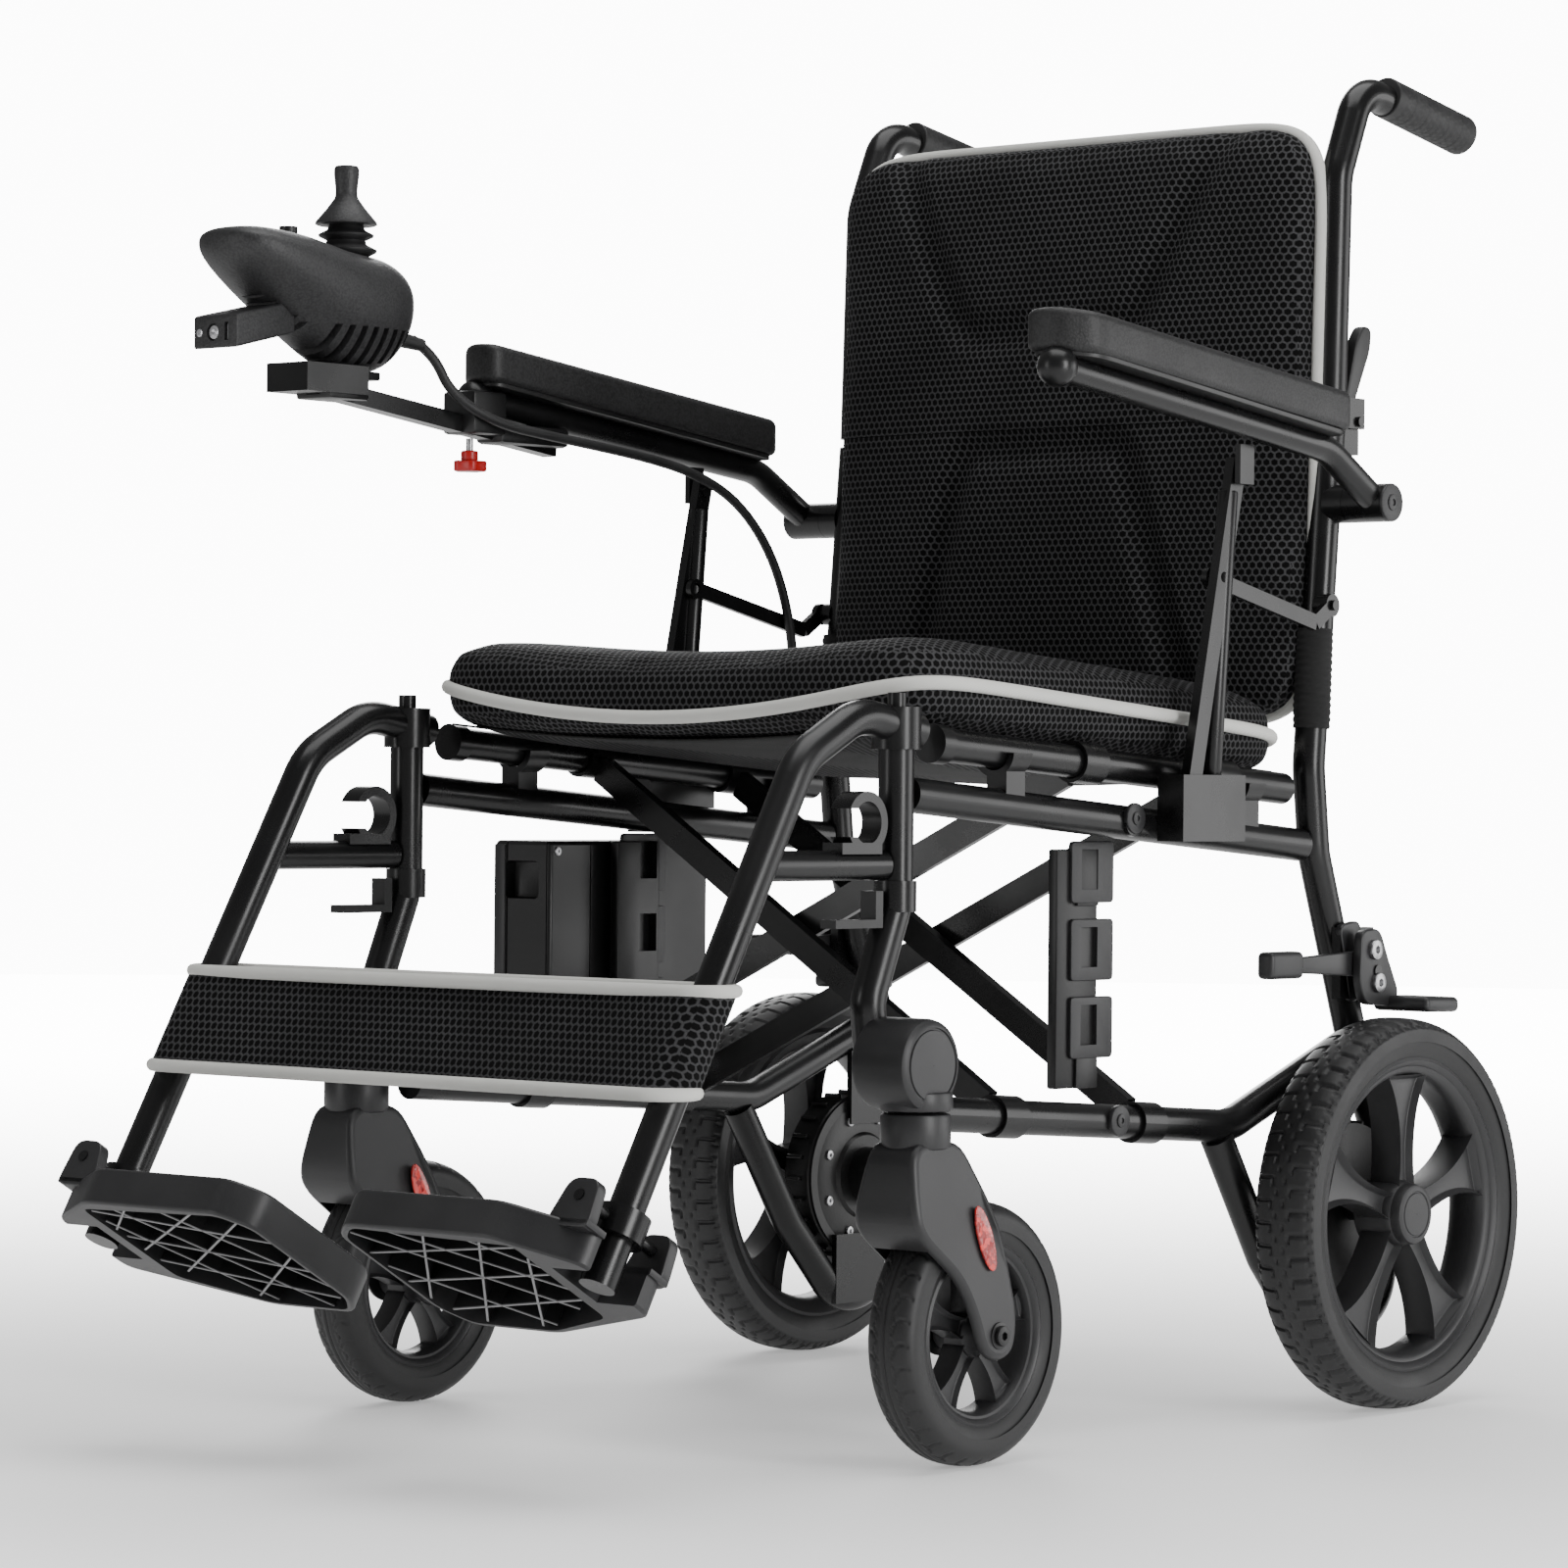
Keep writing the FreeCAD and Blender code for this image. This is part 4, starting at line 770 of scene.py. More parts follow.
def driveTread(turn, along):  # bracket-shaped sipes on the shoulders and short dashes near the middle
    depth = 0.0
    for side, shift in ((1, 0.0), (-1, 0.5)):
        phase = (turn * 54 + shift) % 1
        x = along * side
        if x > 0:
            cross = band(phase, 0.5, 0.055, 0.05) * band(x, 0.0155, 0.0075, 0.0008)
            foot = band(phase, 0.66, 0.18, 0.05) * band(x, 0.0078, 0.0007, 0.0006)
            edge = band((phase * 2) % 1, 0.5, 0.1, 0.08) * band(x, 0.0235, 0.0016, 0.0008) * 0.8
            dash = band(phase, 0.15, 0.10, 0.05) * band(x, 0.0030, 0.0008, 0.0006) * 0.9
            depth = max(depth, cross, foot, edge, dash)
    return depth * 0.0018


def casterTread(turn, along):  # three fine lines round the tread and curved leaves on the shoulders
    depth = max(band(abs(along), 0.0, 0.0004, 0.0005), band(abs(along), 0.0048, 0.0004, 0.0005)) * 0.8
    for side, shift in ((1, 0.0), (-1, 0.5)):
        x = along * side
        if 0.006 < x < 0.0185:
            bow = math.sin((x - 0.006) / 0.0125 * math.pi) * 0.30
            phase = (turn * 34 + shift + bow + (x - 0.006) * 26) % 1
            depth = max(depth, band(phase, 0.5, 0.045, 0.05) * band(x, 0.0122, 0.0052, 0.001) * 0.7)
            depth = max(depth, band(x, 0.0076 + 0.0016 * math.sin(turn * 68 * math.pi), 0.0003, 0.0005) * 0.7)
    return depth * 0.0013


def treaded(name, profile, centre, steps, tread, sideways, outer):
    ring = spun(name, [(x, r) for x, r in profile], centre, steps)
    for vert in ring.data.vertices:
        away = Vector((0, vert.co.y - centre[1], vert.co.z - centre[2]))
        along = vert.co.x - centre[0]
        if away.length > outer - sideways:
            turn = (math.atan2(away.z, away.y) / (2 * math.pi)) % 1
            vert.co -= away.normalized() * tread(turn, along)
    return smooth(ring, 40)


drive = {"centre": (0.298, 0.402, 0.1525), "halfWide": 0.0268, "outer": 0.1523, "inner": 0.1215, "steps": 702}
driveTyre = treaded("driveTyre", ringProfile(drive["halfWide"], drive["outer"], drive["inner"], 0.012, 46),
                    drive["centre"], drive["steps"], driveTread, 0.020, drive["outer"])
for height in (0.133, 0.1445):  # moulded rings on the outer sidewall
    for vert in driveTyre.data.vertices:
        away = math.hypot(vert.co.y - drive["centre"][1], vert.co.z - drive["centre"][2])
        if abs(away - height) < 0.0012:
            vert.co.x += 0.0004 * (1 if vert.co.x > drive["centre"][0] else -1)
keepPair(driveTyre, "driveTyre", "rear_wheel", "tyreRubber", "rear_tyre")

caster = {"centre": (0.275, -0.103, 0.0943), "halfWide": 0.0208, "outer": 0.0941, "inner": 0.0655,
          "steps": 544}
casterTyre = treaded("casterTyre",
                     ringProfile(caster["halfWide"], caster["outer"], caster["inner"], 0.014, 44),
                     caster["centre"], caster["steps"], casterTread, 0.022, caster["outer"])
keepPair(casterTyre, "casterTyre", "caster_wheel", "tyreRubber", "caster_tyre")
print("tyres")


# wheels: a rim, flared I-shaped spokes and a hub with its cap

def spokeShape(name, centre, start, end, slim, flare, low, high, rib, cut):
    spoke = box(name, (low, -0.5, start), (high, 0.5, end))
    pick(spoke, lambda middle, along: abs(along.z) > 0.9, "EDGE")
    bpy.ops.mesh.subdivide(number_cuts=9)
    leave()
    for vert in spoke.data.vertices:
        share = max(0.0, min(1.0, (vert.co.z - start) / (end - start)))
        wide = slim + (flare - slim) * share ** 3.2 + 0.35 * slim * (1 - share) ** 4
        vert.co.y = math.copysign(wide, vert.co.y)
    for facing in (1, -1):  # the web lies deeper than the ribs along its edges
        pick(spoke, lambda middle, normal: normal.x * facing > 0.9)
        bpy.ops.mesh.inset(thickness=rib, depth=-cut)
        leave()
    modify(spoke, "BEVEL", width=0.0008, segments=2, limit_method="ANGLE", angle_limit=math.radians(40))
    for vert in spoke.data.vertices:
        vert.co.y += centre[1]
        vert.co.z += centre[2]
    return spoke


def spokedWheel(name, centre, rim, hub, spoke, count, steps=120):
    pieces = [spun(name + "Rim", rim, centre, steps), spun(name + "Hub", hub, centre, 64)]
    first = spokeShape(name + "Spoke", centre, *spoke)
    pieces.append(first)
    for k in range(1, count):
        pieces.append(turned(first, name + "Spoke%d" % k, 2 * math.pi * k / count, centre))
    return smooth(joined(pieces, name), 32)


driveRim = [(0.021, 0.1222), (0.0222, 0.1195), (0.0205, 0.1165), (0.0185, 0.1150), (0.0178, 0.1125),
            (0.0150, 0.1095),
            (0.0080, 0.1065), (-0.0080, 0.1065), (-0.0150, 0.1095), (-0.0178, 0.1125), (-0.0205, 0.1165),
            (-0.0222, 0.1195), (-0.021, 0.1222), (-0.014, 0.1215), (0.014, 0.1215)]
driveHub = [(-0.020, 0.0082), (-0.020, 0.021), (-0.016, 0.026), (0.010, 0.026), (0.0150, 0.0245),
            (0.0160, 0.0238),
            (0.0215, 0.0236), (0.0238, 0.0226), (0.0248, 0.0206), (0.0250, 0.0182), (0.0242, 0.0176),
            (0.0242, 0.0168),
            (0.0250, 0.0162), (0.0253, 0.0120), (0.0253, 0.0004), (0.0085, 0.0004), (0.0085, 0.0082)]
driveWheel = spokedWheel("driveWheel", drive["centre"], driveRim, driveHub,
                         (0.022, 0.1080, 0.0078, 0.027, 0.286, 0.314, 0.0032, 0.0065), 5)
keepPair(driveWheel, "driveWheel", "rear_wheel", "greyPlastic", "rear_wheel")

casterRim = [(0.0160, 0.0662), (0.0172, 0.0640), (0.0160, 0.0618), (0.0135, 0.0600), (0.0130, 0.0580),
             (0.0090, 0.0555),
             (-0.0090, 0.0555), (-0.0130, 0.0580), (-0.0135, 0.0600), (-0.0160, 0.0618), (-0.0172, 0.0640),
             (-0.0160, 0.0662), (-0.010, 0.0656), (0.010, 0.0656)]
casterHub = [(-0.0228, 0.0063), (-0.0228, 0.0105), (-0.0205, 0.0125), (-0.012, 0.0135), (-0.008, 0.0165),
             (0.008, 0.0165),
             (0.012, 0.0135), (0.0205, 0.0125), (0.0228, 0.0105), (0.0228, 0.0063)]
casterWheel = spokedWheel("casterWheel", caster["centre"], casterRim, casterHub,
                          (0.0145, 0.0565, 0.0058, 0.0125, 0.265, 0.285, 0.0022, 0.0045), 5, 96)
keepPair(casterWheel, "casterWheel", "caster_wheel", "greyPlastic", "caster_wheel")
print("wheels")


# caster drum, fork, reflector and axle bolt

def plate(name, outline, low, high, bevel=0.0, segments=3):  # an outline in (y, z) drawn out along x
    clearSelection()
    bpy.ops.mesh.primitive_circle_add(vertices=len(outline), radius=1, fill_type="NGON")
    obj = bpy.context.object
    obj.name = name
    for vert, (y, z) in zip(obj.data.vertices, outline):
        vert.co = (low, y, z)
    only(obj)
    bpy.ops.object.mode_set(mode="EDIT")
    bpy.ops.mesh.select_all(action="SELECT")
    bpy.ops.mesh.extrude_region_move(TRANSFORM_OT_translate={"value": (high - low, 0, 0)})
    bpy.ops.mesh.select_all(action="SELECT")
    bpy.ops.mesh.normals_make_consistent(inside=False)
    leave()
    if bevel:
        modify(obj, "BEVEL", width=bevel, segments=segments, limit_method="ANGLE",
               angle_limit=math.radians(50))
    return smooth(obj)


def closedRound(corners, radius, steps=5):  # outline with every corner rounded
    looped = [corners[-1]] + corners + [corners[0]]
    spots = []
    for before, corner, after in zip(looped, looped[1:], looped[2:]):
        a, b = Vector(before) - Vector(corner), Vector(after) - Vector(corner)
        cutA, cutB = min(radius, a.length * 0.48), min(radius, b.length * 0.48)
        for k in range(steps + 1):
            t = k / steps
            along = a.normalized() * cutA * (1 - t) ** 2 + b.normalized() * cutB * t ** 2
            spots.append(tuple(Vector(corner) + along))
    return spots


def carve(obj, tool):
    modify(obj, "BOOLEAN", operation="DIFFERENCE", object=tool, solver="EXACT")
    only(tool)
    bpy.ops.object.delete()
    return obj


forkOutline = [(-0.190, 0.2335), (-0.136, 0.2335), (-0.1190, 0.205), (-0.0960, 0.160), (-0.0800, 0.108),
               (-0.0840, 0.081),
               (-0.1030, 0.0745), (-0.1210, 0.083), (-0.1300, 0.108), (-0.1480, 0.136), (-0.1930, 0.168),
               (-0.1980, 0.186)]
fork = plate("fork", closedRound(forkOutline, 0.017), 0.2450, 0.3050)
only(fork)
modify(fork, "BEVEL", width=0.0055, segments=4, limit_method="ANGLE", angle_limit=math.radians(60))
carve(fork, rod("room", (0.2510, -0.103, 0.0943), (0.2990, -0.103, 0.0943), 0.0985, sides=96))
for vert in fork.data.vertices:  # the crown draws in towards the round collar
    share = smoothStep(vert.co.z, 0.172, 0.2335)
    vert.co.x = 0.275 + (vert.co.x - 0.275) * (1 - 0.30 * share)
collar = rod("collar", (0.275, -0.163, 0.228), (0.275, -0.163, 0.2530), 0.0250, 0.003, 48)
stem = rod("stem", (0.275, -0.163, 0.250), (0.275, -0.163, 0.262), 0.006)
forkWhole = smooth(joined([fork, collar, stem], "casterFork"), 38)
keepPair(forkWhole, "casterFork", "caster_fork", "greyPlastic", "caster_fork")

turns = [2 * math.pi * k / 40 for k in range(40)]
reflect = plate("reflector", [(-0.1205 + 0.0085 * math.cos(t) - 0.009 * math.sin(t), 0.1640 + 0.0235 * math.sin(t))
                              for t in turns],
                0.3040, 0.3062, 0.0009)
inner = copied(reflect, "innerReflector")
for vert in inner.data.vertices:
    vert.co.x = 0.550 - vert.co.x
inner.data.flip_normals()
keepPair(joined([reflect, inner], "forkReflector"), "forkReflector", "caster_fork", "reflector")


# a round head with a hexagon socket, standing out along x
def socketBolt(name, spot, radius, reach, direction=1):
    x, y, z = spot
    head = rod(name, (x, y, z), (x + reach * direction, y, z), radius, radius * 0.14, 32)
    carve(head, rod("key", (x + reach * direction * 0.45, y, z), (x + reach * direction * 1.5, y, z),
                    radius * 0.45, sides=6))
    return smooth(head, 30)


axleBolt = joined([socketBolt("axleBolt", (0.3045, -0.103, 0.0943), 0.0072, 0.005),
                   rod("washer", (0.3040, -0.103, 0.0943), (0.3058, -0.103, 0.0943), 0.0098, 0.0004)],
                   "axleBolt")
keepPair(axleBolt, "axleBolt", "caster_fork", "darkPlastic")

drumProfile = [(0.246, 0.0), (0.246, 0.0290), (0.2485, 0.0318), (0.252, 0.0328), (0.289, 0.0328),
               (0.2932, 0.0318),
               (0.2955, 0.0292), (0.2960, 0.0268), (0.2949, 0.0262), (0.2949, 0.0252), (0.2960, 0.0246),
               (0.2965, 0.0)]
drum = spun("drum", [(x, max(r, 0.0003)) for x, r in drumProfile], (0, -0.170, 0.287), 64)
drumFoot = rod("drumFoot", (0.275, -0.163, 0.2545), (0.275, -0.163, 0.268), 0.0262, 0.002, 48)
keepPair(smooth(joined([drum, drumFoot], "casterDrum"), 30), "casterDrum", "left_frame", "greyPlastic",
         "caster_housing")
print("casters")

# push grips with a diamond knurl

grip = {"start": (0.241, 0.465, 1.0343), "end": (0.241, 0.577, 1.0148), "radius": 0.0163, "rings": 84,
        "round": 72}
gripRun = Vector(grip["end"]) - Vector(grip["start"])
clearSelection()
bpy.ops.mesh.primitive_cylinder_add(vertices=grip["round"], radius=grip["radius"], depth=gripRun.length)
gripPiece = bpy.context.object
pick(gripPiece, lambda middle, along: abs(along.z) > 0.9, "EDGE")
bpy.ops.mesh.subdivide(number_cuts=grip["rings"])
leave()
modify(gripPiece, "BEVEL", width=0.0022, segments=3, limit_method="ANGLE", angle_limit=math.radians(60))
for vert in gripPiece.data.vertices:
    away = math.hypot(vert.co.x, vert.co.y)
    share = vert.co.z / gripRun.length + 0.5
    if 0.06 < share < 0.94 and away > grip["radius"] * 0.9:
        turn = math.atan2(vert.co.y, vert.co.x) / (2 * math.pi)
        waves = [abs(math.sin(math.pi * (turn * 18 + way * vert.co.z / 0.0062))) for way in (0.5, -0.5)]
        press = max(1 - waves[0] / 0.30, 1 - waves[1] / 0.30, 0)
        vert.co.x *= 1 - 0.055 * min(1, press)
        vert.co.y *= 1 - 0.055 * min(1, press)
gripPiece.rotation_euler = gripRun.to_track_quat("Z", "Y").to_euler()
gripPiece.location = (Vector(grip["start"]) + Vector(grip["end"])) / 2
settle(gripPiece)
keepPair(smooth(gripPiece, 50), "pushGrip", "back", "gripRubber", "push_grip")

# arm pads, slanted at the front where the tube's ball sits

arm = {"x": 0.288, "frontY": -0.024, "frontZ": 0.785, "kneeY": 0.318, "kneeZ": 0.745, "lift": 0.0113,
       "high": 0.0300,
       "halfWide": 0.0268}
armSlope = (arm["kneeZ"] - arm["frontZ"]) / (arm["kneeY"] - arm["frontY"])


def armZ(y):
    return arm["frontZ"] + armSlope * (y - arm["frontY"])


padPlan = closedRound([(-0.0268, -0.031), (0.004, -0.031), (0.0268, -0.008), (0.0268, 0.319),
                       (-0.0268, 0.319)], 0.012, 6)
clearSelection()
bpy.ops.mesh.primitive_circle_add(vertices=len(padPlan), radius=1, fill_type="NGON")
armPad = bpy.context.object
for vert, (x, y) in zip(armPad.data.vertices, padPlan):
    vert.co = (arm["x"] + x, y, 0)
only(armPad)
bpy.ops.object.mode_set(mode="EDIT")
bpy.ops.mesh.select_all(action="SELECT")
bpy.ops.mesh.extrude_region_move(TRANSFORM_OT_translate={"value": (0, 0, arm["high"])})
bpy.ops.mesh.select_all(action="SELECT")
bpy.ops.mesh.normals_make_consistent(inside=False)
leave()
modify(armPad, "BEVEL", width=0.0060, segments=5, limit_method="ANGLE", angle_limit=math.radians(60))
for vert in armPad.data.vertices:
    crown = 0.0016 * (1 - ((vert.co.x - arm["x"]) / 0.027) ** 2) * (vert.co.z / arm["high"])
    vert.co.z += armZ(vert.co.y) + arm["lift"] + crown
tray = copied(armPad, "tray")  # the stiff tray under the foam
for vert in tray.data.vertices:
    base = armZ(vert.co.y) + arm["lift"]
    vert.co = (arm["x"] + (vert.co.x - arm["x"]) * 0.90, 0.144 + (vert.co.y - 0.144) * 0.97,
               base - 0.0035 + (vert.co.z - base) * 0.15)
leftPad, rightPad = keepPair(smooth(armPad, 60), "armPad", "arm", "padSkin", "arm_pad")
keepPair(smooth(tray, 40), "armTray", "arm", "darkPlastic")
print("grips and pads")

# controller: a hull-shaped case with vents, a lamp pod below the nose, bellows and stick

control = {"x": -0.290, "stickY": -0.168, "stationCount": 64, "around": 72}
hull = [(-0.3030, 0.8895, 0.8835, 0.006), (-0.3007, 0.8945, 0.8765, 0.020), (-0.2937, 0.8975, 0.8680, 0.031),
        (-0.2790, 0.8990, 0.8560, 0.039), (-0.2585, 0.8985, 0.8410, 0.0435),
        (-0.2340, 0.8965, 0.8250, 0.0455),
        (-0.2093, 0.8925, 0.8090, 0.0460), (-0.1888, 0.8890, 0.7990, 0.0455),
        (-0.1683, 0.8870, 0.7955, 0.0440),
        (-0.1478, 0.8845, 0.7970, 0.0410), (-0.1314, 0.8785, 0.8040, 0.0350),
        (-0.1191, 0.8690, 0.8160, 0.0260),
        (-0.1133, 0.8590, 0.8300, 0.0150), (-0.1117, 0.8490, 0.8430, 0.0040)]


def hullAt(share):  # smooth station between the listed ones
    spot = share * (len(hull) - 1)
    k = min(int(spot), len(hull) - 2)
    t = spot - k
    p = [hull[max(0, min(len(hull) - 1, k + d))] for d in (-1, 0, 1, 2)]
    return [0.5 * (2 * b + (c - a) * t + (2 * a - 5 * b + 4 * c - d) * t ** 2
                   + (3 * b - a - 3 * c + d) * t ** 3) for a, b, c, d in zip(*p)]


clearSelection()
bpy.ops.mesh.primitive_uv_sphere_add(segments=control["around"], ring_count=control["stationCount"], radius=1)
case = bpy.context.object
for vert in case.data.vertices:
    share = math.acos(max(-1, min(1, -vert.co.z))) / math.pi
    y, top, low, half = hullAt(share)
    angle = math.atan2(vert.co.y, vert.co.x)
    wide, high = math.cos(angle), math.sin(angle)
    spread = (abs(wide) ** 2.5 + abs(high) ** 2.5) ** (1 / 2.5)
    middle = low + (top - low) * 0.62
    reach = (top - middle) if high > 0 else (middle - low)
    pull = 1 - 0.30 * max(0, -high / spread) ** 2
    if vert.co.xy.length < 1e-4:
        wide = high = 0
        spread = 1
    vert.co = (control["x"] + half * pull * wide / spread, y, middle + reach * high / spread)
cleaned(case)
case.data.update()
slots = []
for k in range(9):  # tall vents round the lower hull
    y = -0.2240 + 0.0118 * k
    slots.append(box("slot", (control["x"] - 0.060, y, 0.8010 + 0.0012 * abs(k - 4)),
                     (control["x"] + 0.060, y + 0.0056, 0.8290)))
for k in range(6):  # short vents in a row above them
    y = -0.2700 + 0.0088 * k
    slots.append(box("slot", (control["x"] - 0.060, y, 0.8405 - 0.0052 * k),
                     (control["x"] + 0.060, y + 0.0042, 0.8480 - 0.0046 * k)))
vents = joined(slots, "vents")
core = copied(case, "core")
for vert in core.data.vertices:
    vert.co.x = control["x"] + (vert.co.x - control["x"]) * 0.86
    vert.co.y = -0.205 + (vert.co.y + 0.205) * 0.93
    vert.co.z = 0.852 + (vert.co.z - 0.852) * 0.90
carve(vents, core)
carve(case, vents)
keep(smooth(case, 40), "controllerCase", "controller", "casePlastic", "controller_case")

pod = box("pod", (control["x"] - 0.0235, -0.306, 0.8050), (control["x"] + 0.0235, -0.238, 0.8300), 0.0)
for vert in pod.data.vertices:  # narrows and rises towards the case
    if vert.co.y > -0.27:
        vert.co.x = control["x"] + (vert.co.x - control["x"]) * 0.72
        vert.co.z += 0.016
modify(pod, "BEVEL", width=0.0022, segments=3, limit_method="ANGLE", angle_limit=math.radians(40))
for shift, radius in ((-0.002, 0.0066), (-0.0165, 0.0034)):
    carve(pod, rod("socket", (control["x"] + shift, -0.314, 0.8175),
                   (control["x"] + shift, -0.3025, 0.8175), radius, sides=40))
carve(pod, box("slit", (control["x"] + 0.0105, -0.314, 0.8110), (control["x"] + 0.0145, -0.301, 0.8245)))
keep(smooth(pod, 35), "lampPod", "controller", "casePlastic")
lenses = [spun("lens", [(0.0, 0.0003), (-0.0016, 0.0020), (-0.0010, 0.0050), (0.0012, 0.0062),
                        (0.0030, 0.0003)],
               (control["x"] - 0.002, -0.3040, 0.8175), 32, "Y"),
          rod("lampScrew", (control["x"] - 0.0165, -0.3030, 0.8175),
              (control["x"] - 0.0165, -0.3065, 0.8175), 0.0032, 0.0008, 24),
          box("strip", (control["x"] + 0.0112, -0.3040, 0.8118), (control["x"] + 0.0138, -0.3025, 0.8237),
              0.0004)]
keep(smooth(joined(lenses, "lampLenses"), 40), "lampLenses", "controller", "lampClear")

base = (control["x"], control["stickY"], 0.0)
bellows = spun("bellows", [(0.884, 0.0150), (0.8885, 0.0235), (0.8905, 0.0238), (0.8945, 0.0160),
                           (0.8975, 0.0150),
                           (0.9005, 0.0212), (0.9022, 0.0214), (0.9055, 0.0150), (0.9080, 0.0135),
                           (0.9120, 0.0130),
                           (0.9120, 0.0060), (0.884, 0.0060)], base, 48, "Z")
keep(smooth(bellows, 60), "stickBellows", "joystick_gimbal", "gripRubber", "joystick_gimbal")
skirt = spun("skirt", [(0.9098, 0.0110), (0.9092, 0.0225), (0.9100, 0.0240), (0.9118, 0.0236),
                       (0.9220, 0.0150),
                       (0.9300, 0.0092), (0.9330, 0.0084), (0.9330, 0.0020), (0.9098, 0.0020)], base, 64, "Z")
knob = spun("knob", [(0.9310, 0.0003), (0.9310, 0.0086), (0.9360, 0.0084), (0.9420, 0.0090), (0.9480, 0.0097),
                     (0.9525, 0.0097), (0.9548, 0.0086), (0.9552, 0.0060), (0.9552, 0.0003)], base, 48, "Z")
keep(smooth(joined([skirt, knob], "stickKnob"), 35), "stickKnob", "joystick", "casePlastic", "joystick")

# fixing under the case, clamp block and star knob at the arm's front end
saddle = joined([box("saddleTop", (control["x"] - 0.021, -0.206, 0.7900),
                     (control["x"] + 0.021, -0.150, 0.7965), 0.0012),
                 box("saddleBody", (control["x"] - 0.019, -0.202, 0.7740),
                     (control["x"] + 0.019, -0.160, 0.7905), 0.0020),
                 box("saddleLatch", (control["x"] - 0.010, -0.2040, 0.7790),
                     (control["x"] + 0.010, -0.2015, 0.7870), 0.0008)],
                "caseSaddle")
keep(smooth(saddle), "caseSaddle", "controller", "darkPlastic")
clampBlock = joined([box("clampBody", (control["x"] - 0.015, -0.044, 0.7560),
                         (control["x"] + 0.020, -0.006, 0.7900), 0.0030),
                     box("clampTail", (control["x"] - 0.012, -0.010, 0.7500),
                         (control["x"] + 0.018, 0.070, 0.7660), 0.0040)],
                    "railClamp")
keep(smooth(clampBlock), "railClamp", "arm_right", "darkPlastic")
star = [((0.0150 if k % 2 else 0.0112) * math.cos(math.pi * k / 5),
         (0.0150 if k % 2 else 0.0112) * math.sin(math.pi * k / 5))
        for k in range(10)]
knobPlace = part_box("clamp_knob")
knobX, knobY = [(a + b) / 2 for a, b in zip(*knobPlace)][:2]
starHead = plate("starHead", [(x, y) for x, y in closedRound(star, 0.004, 3)], 0, 0.0085, 0.0012, 2)
for vert in starHead.data.vertices:
    vert.co = (knobX + vert.co.y, knobY + vert.co.z, knobPlace[0][2] + vert.co.x)
cleaned(starHead)
starNeck = rod("starNeck", (knobX, knobY, knobPlace[0][2] + 0.008),
               (knobX, knobY, knobPlace[0][2] + 0.0165), 0.0068, 0.0012, 24)
keep(smooth(joined([starHead, starNeck], "starKnob"), 35), "starKnob", "clamp_knob", "redPlastic",
     "clamp_knob")
keep(rod("knobScrew", (knobX, knobY, knobPlace[0][2] + 0.016), (knobX, knobY, knobPlace[1][2]), 0.0029,
         sides=20),
     "knobScrew", "clamp_knob", "steel")
print("controller")

# controller lead: a thick sheathed start, then a thinner cable along the arm and down the side frame

lead = {"diameter": 0.008, "route": [(-0.284, -0.100, 0.826), (-0.282, -0.078, 0.816),
                                     (-0.274, -0.068, 0.786),
        (-0.260, -0.030, 0.764), (-0.255, 0.028, 0.757), (-0.256, 0.086, 0.752), (-0.255, 0.144, 0.746),
        (-0.254, 0.200, 0.737), (-0.252, 0.254, 0.716), (-0.250, 0.296, 0.674), (-0.250, 0.320, 0.620),
        (-0.253, 0.330, 0.564), (-0.258, 0.330, 0.508), (-0.259, 0.326, 0.452)]}
leadLine = line("leadLine", lead["route"], 0)
leadPoints = [vert.co.copy() for vert in bpy.data.meshes.new_from_object(leadLine).vertices]
only(leadLine)
bpy.ops.object.delete()
leadTube = meshed(line("controllerLead", lead["route"], lead["diameter"] / 2))
leadTube.data.materials.append(finishes["gripRubber"])
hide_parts("controller_lead")
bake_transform(leadTube)

# footplates: moulded tray with crossing ribs below, turned to the hanger tube's foot

footFrame = Matrix.Translation((0.241, -0.457, 0.148)) @ Matrix.Rotation(-math.atan2(0.205, 0.352), 4, "X")
footOutline = closedRound([(0.014, -0.034), (-0.045, -0.068), (-0.178, -0.068), (-0.200, -0.048),
                           (-0.200, 0.064),
                           (-0.182, 0.088), (-0.102, 0.088), (0.014, 0.044)], 0.010, 4)


def flatPlate(name, outline, low, high, bevel=0.0, segments=3):  # an outline in (x, y) drawn out along z
    obj = plate(name, outline, low, high)
    for vert in obj.data.vertices:
        vert.co = (vert.co.y, vert.co.z, vert.co.x)
    cleaned(obj)
    if bevel:
        modify(obj, "BEVEL", width=bevel, segments=segments, limit_method="ANGLE",
               angle_limit=math.radians(50))
    return smooth(obj)


foot = flatPlate("foot", footOutline, 0.0, 0.028, 0.0022)
footRoom = flatPlate("footRoom",
                     closedRound([(-0.032, -0.056), (-0.176, -0.063), (-0.195, -0.045), (-0.195, 0.062),
                                              (-0.180, 0.083), (-0.102, 0.083), (-0.032, 0.052)], 0.008, 4),
                                              -0.01, 0.0235)
carve(foot, footRoom)
lugs = []
for low, high in ((-0.047, -0.037), (0.037, 0.047)):
    lug = plate("lug", closedRound([(-0.022, 0.022), (-0.013, 0.058), (0.013, 0.058), (0.017, 0.022)],
                                   0.009, 5), low, high, 0.0012)
    for vert in lug.data.vertices:
        vert.co = (vert.co.y, vert.co.x, vert.co.z)
    cleaned(lug)
    carve(lug, rod("eye", (0, low - 0.01, 0.045), (0, high + 0.01, 0.045), 0.0042, sides=32))
    lugs.append(lug)
web = box("footWeb", (-0.022, -0.047, 0.0235), (0.016, 0.047, 0.0285), 0.001)
carve(foot, box("footNotch", (-0.020, -0.026, -0.02), (0.05, 0.026, 0.07)))
carve(web, box("footNotch", (-0.020, -0.026, -0.02), (0.05, 0.026, 0.07)))
treads = []
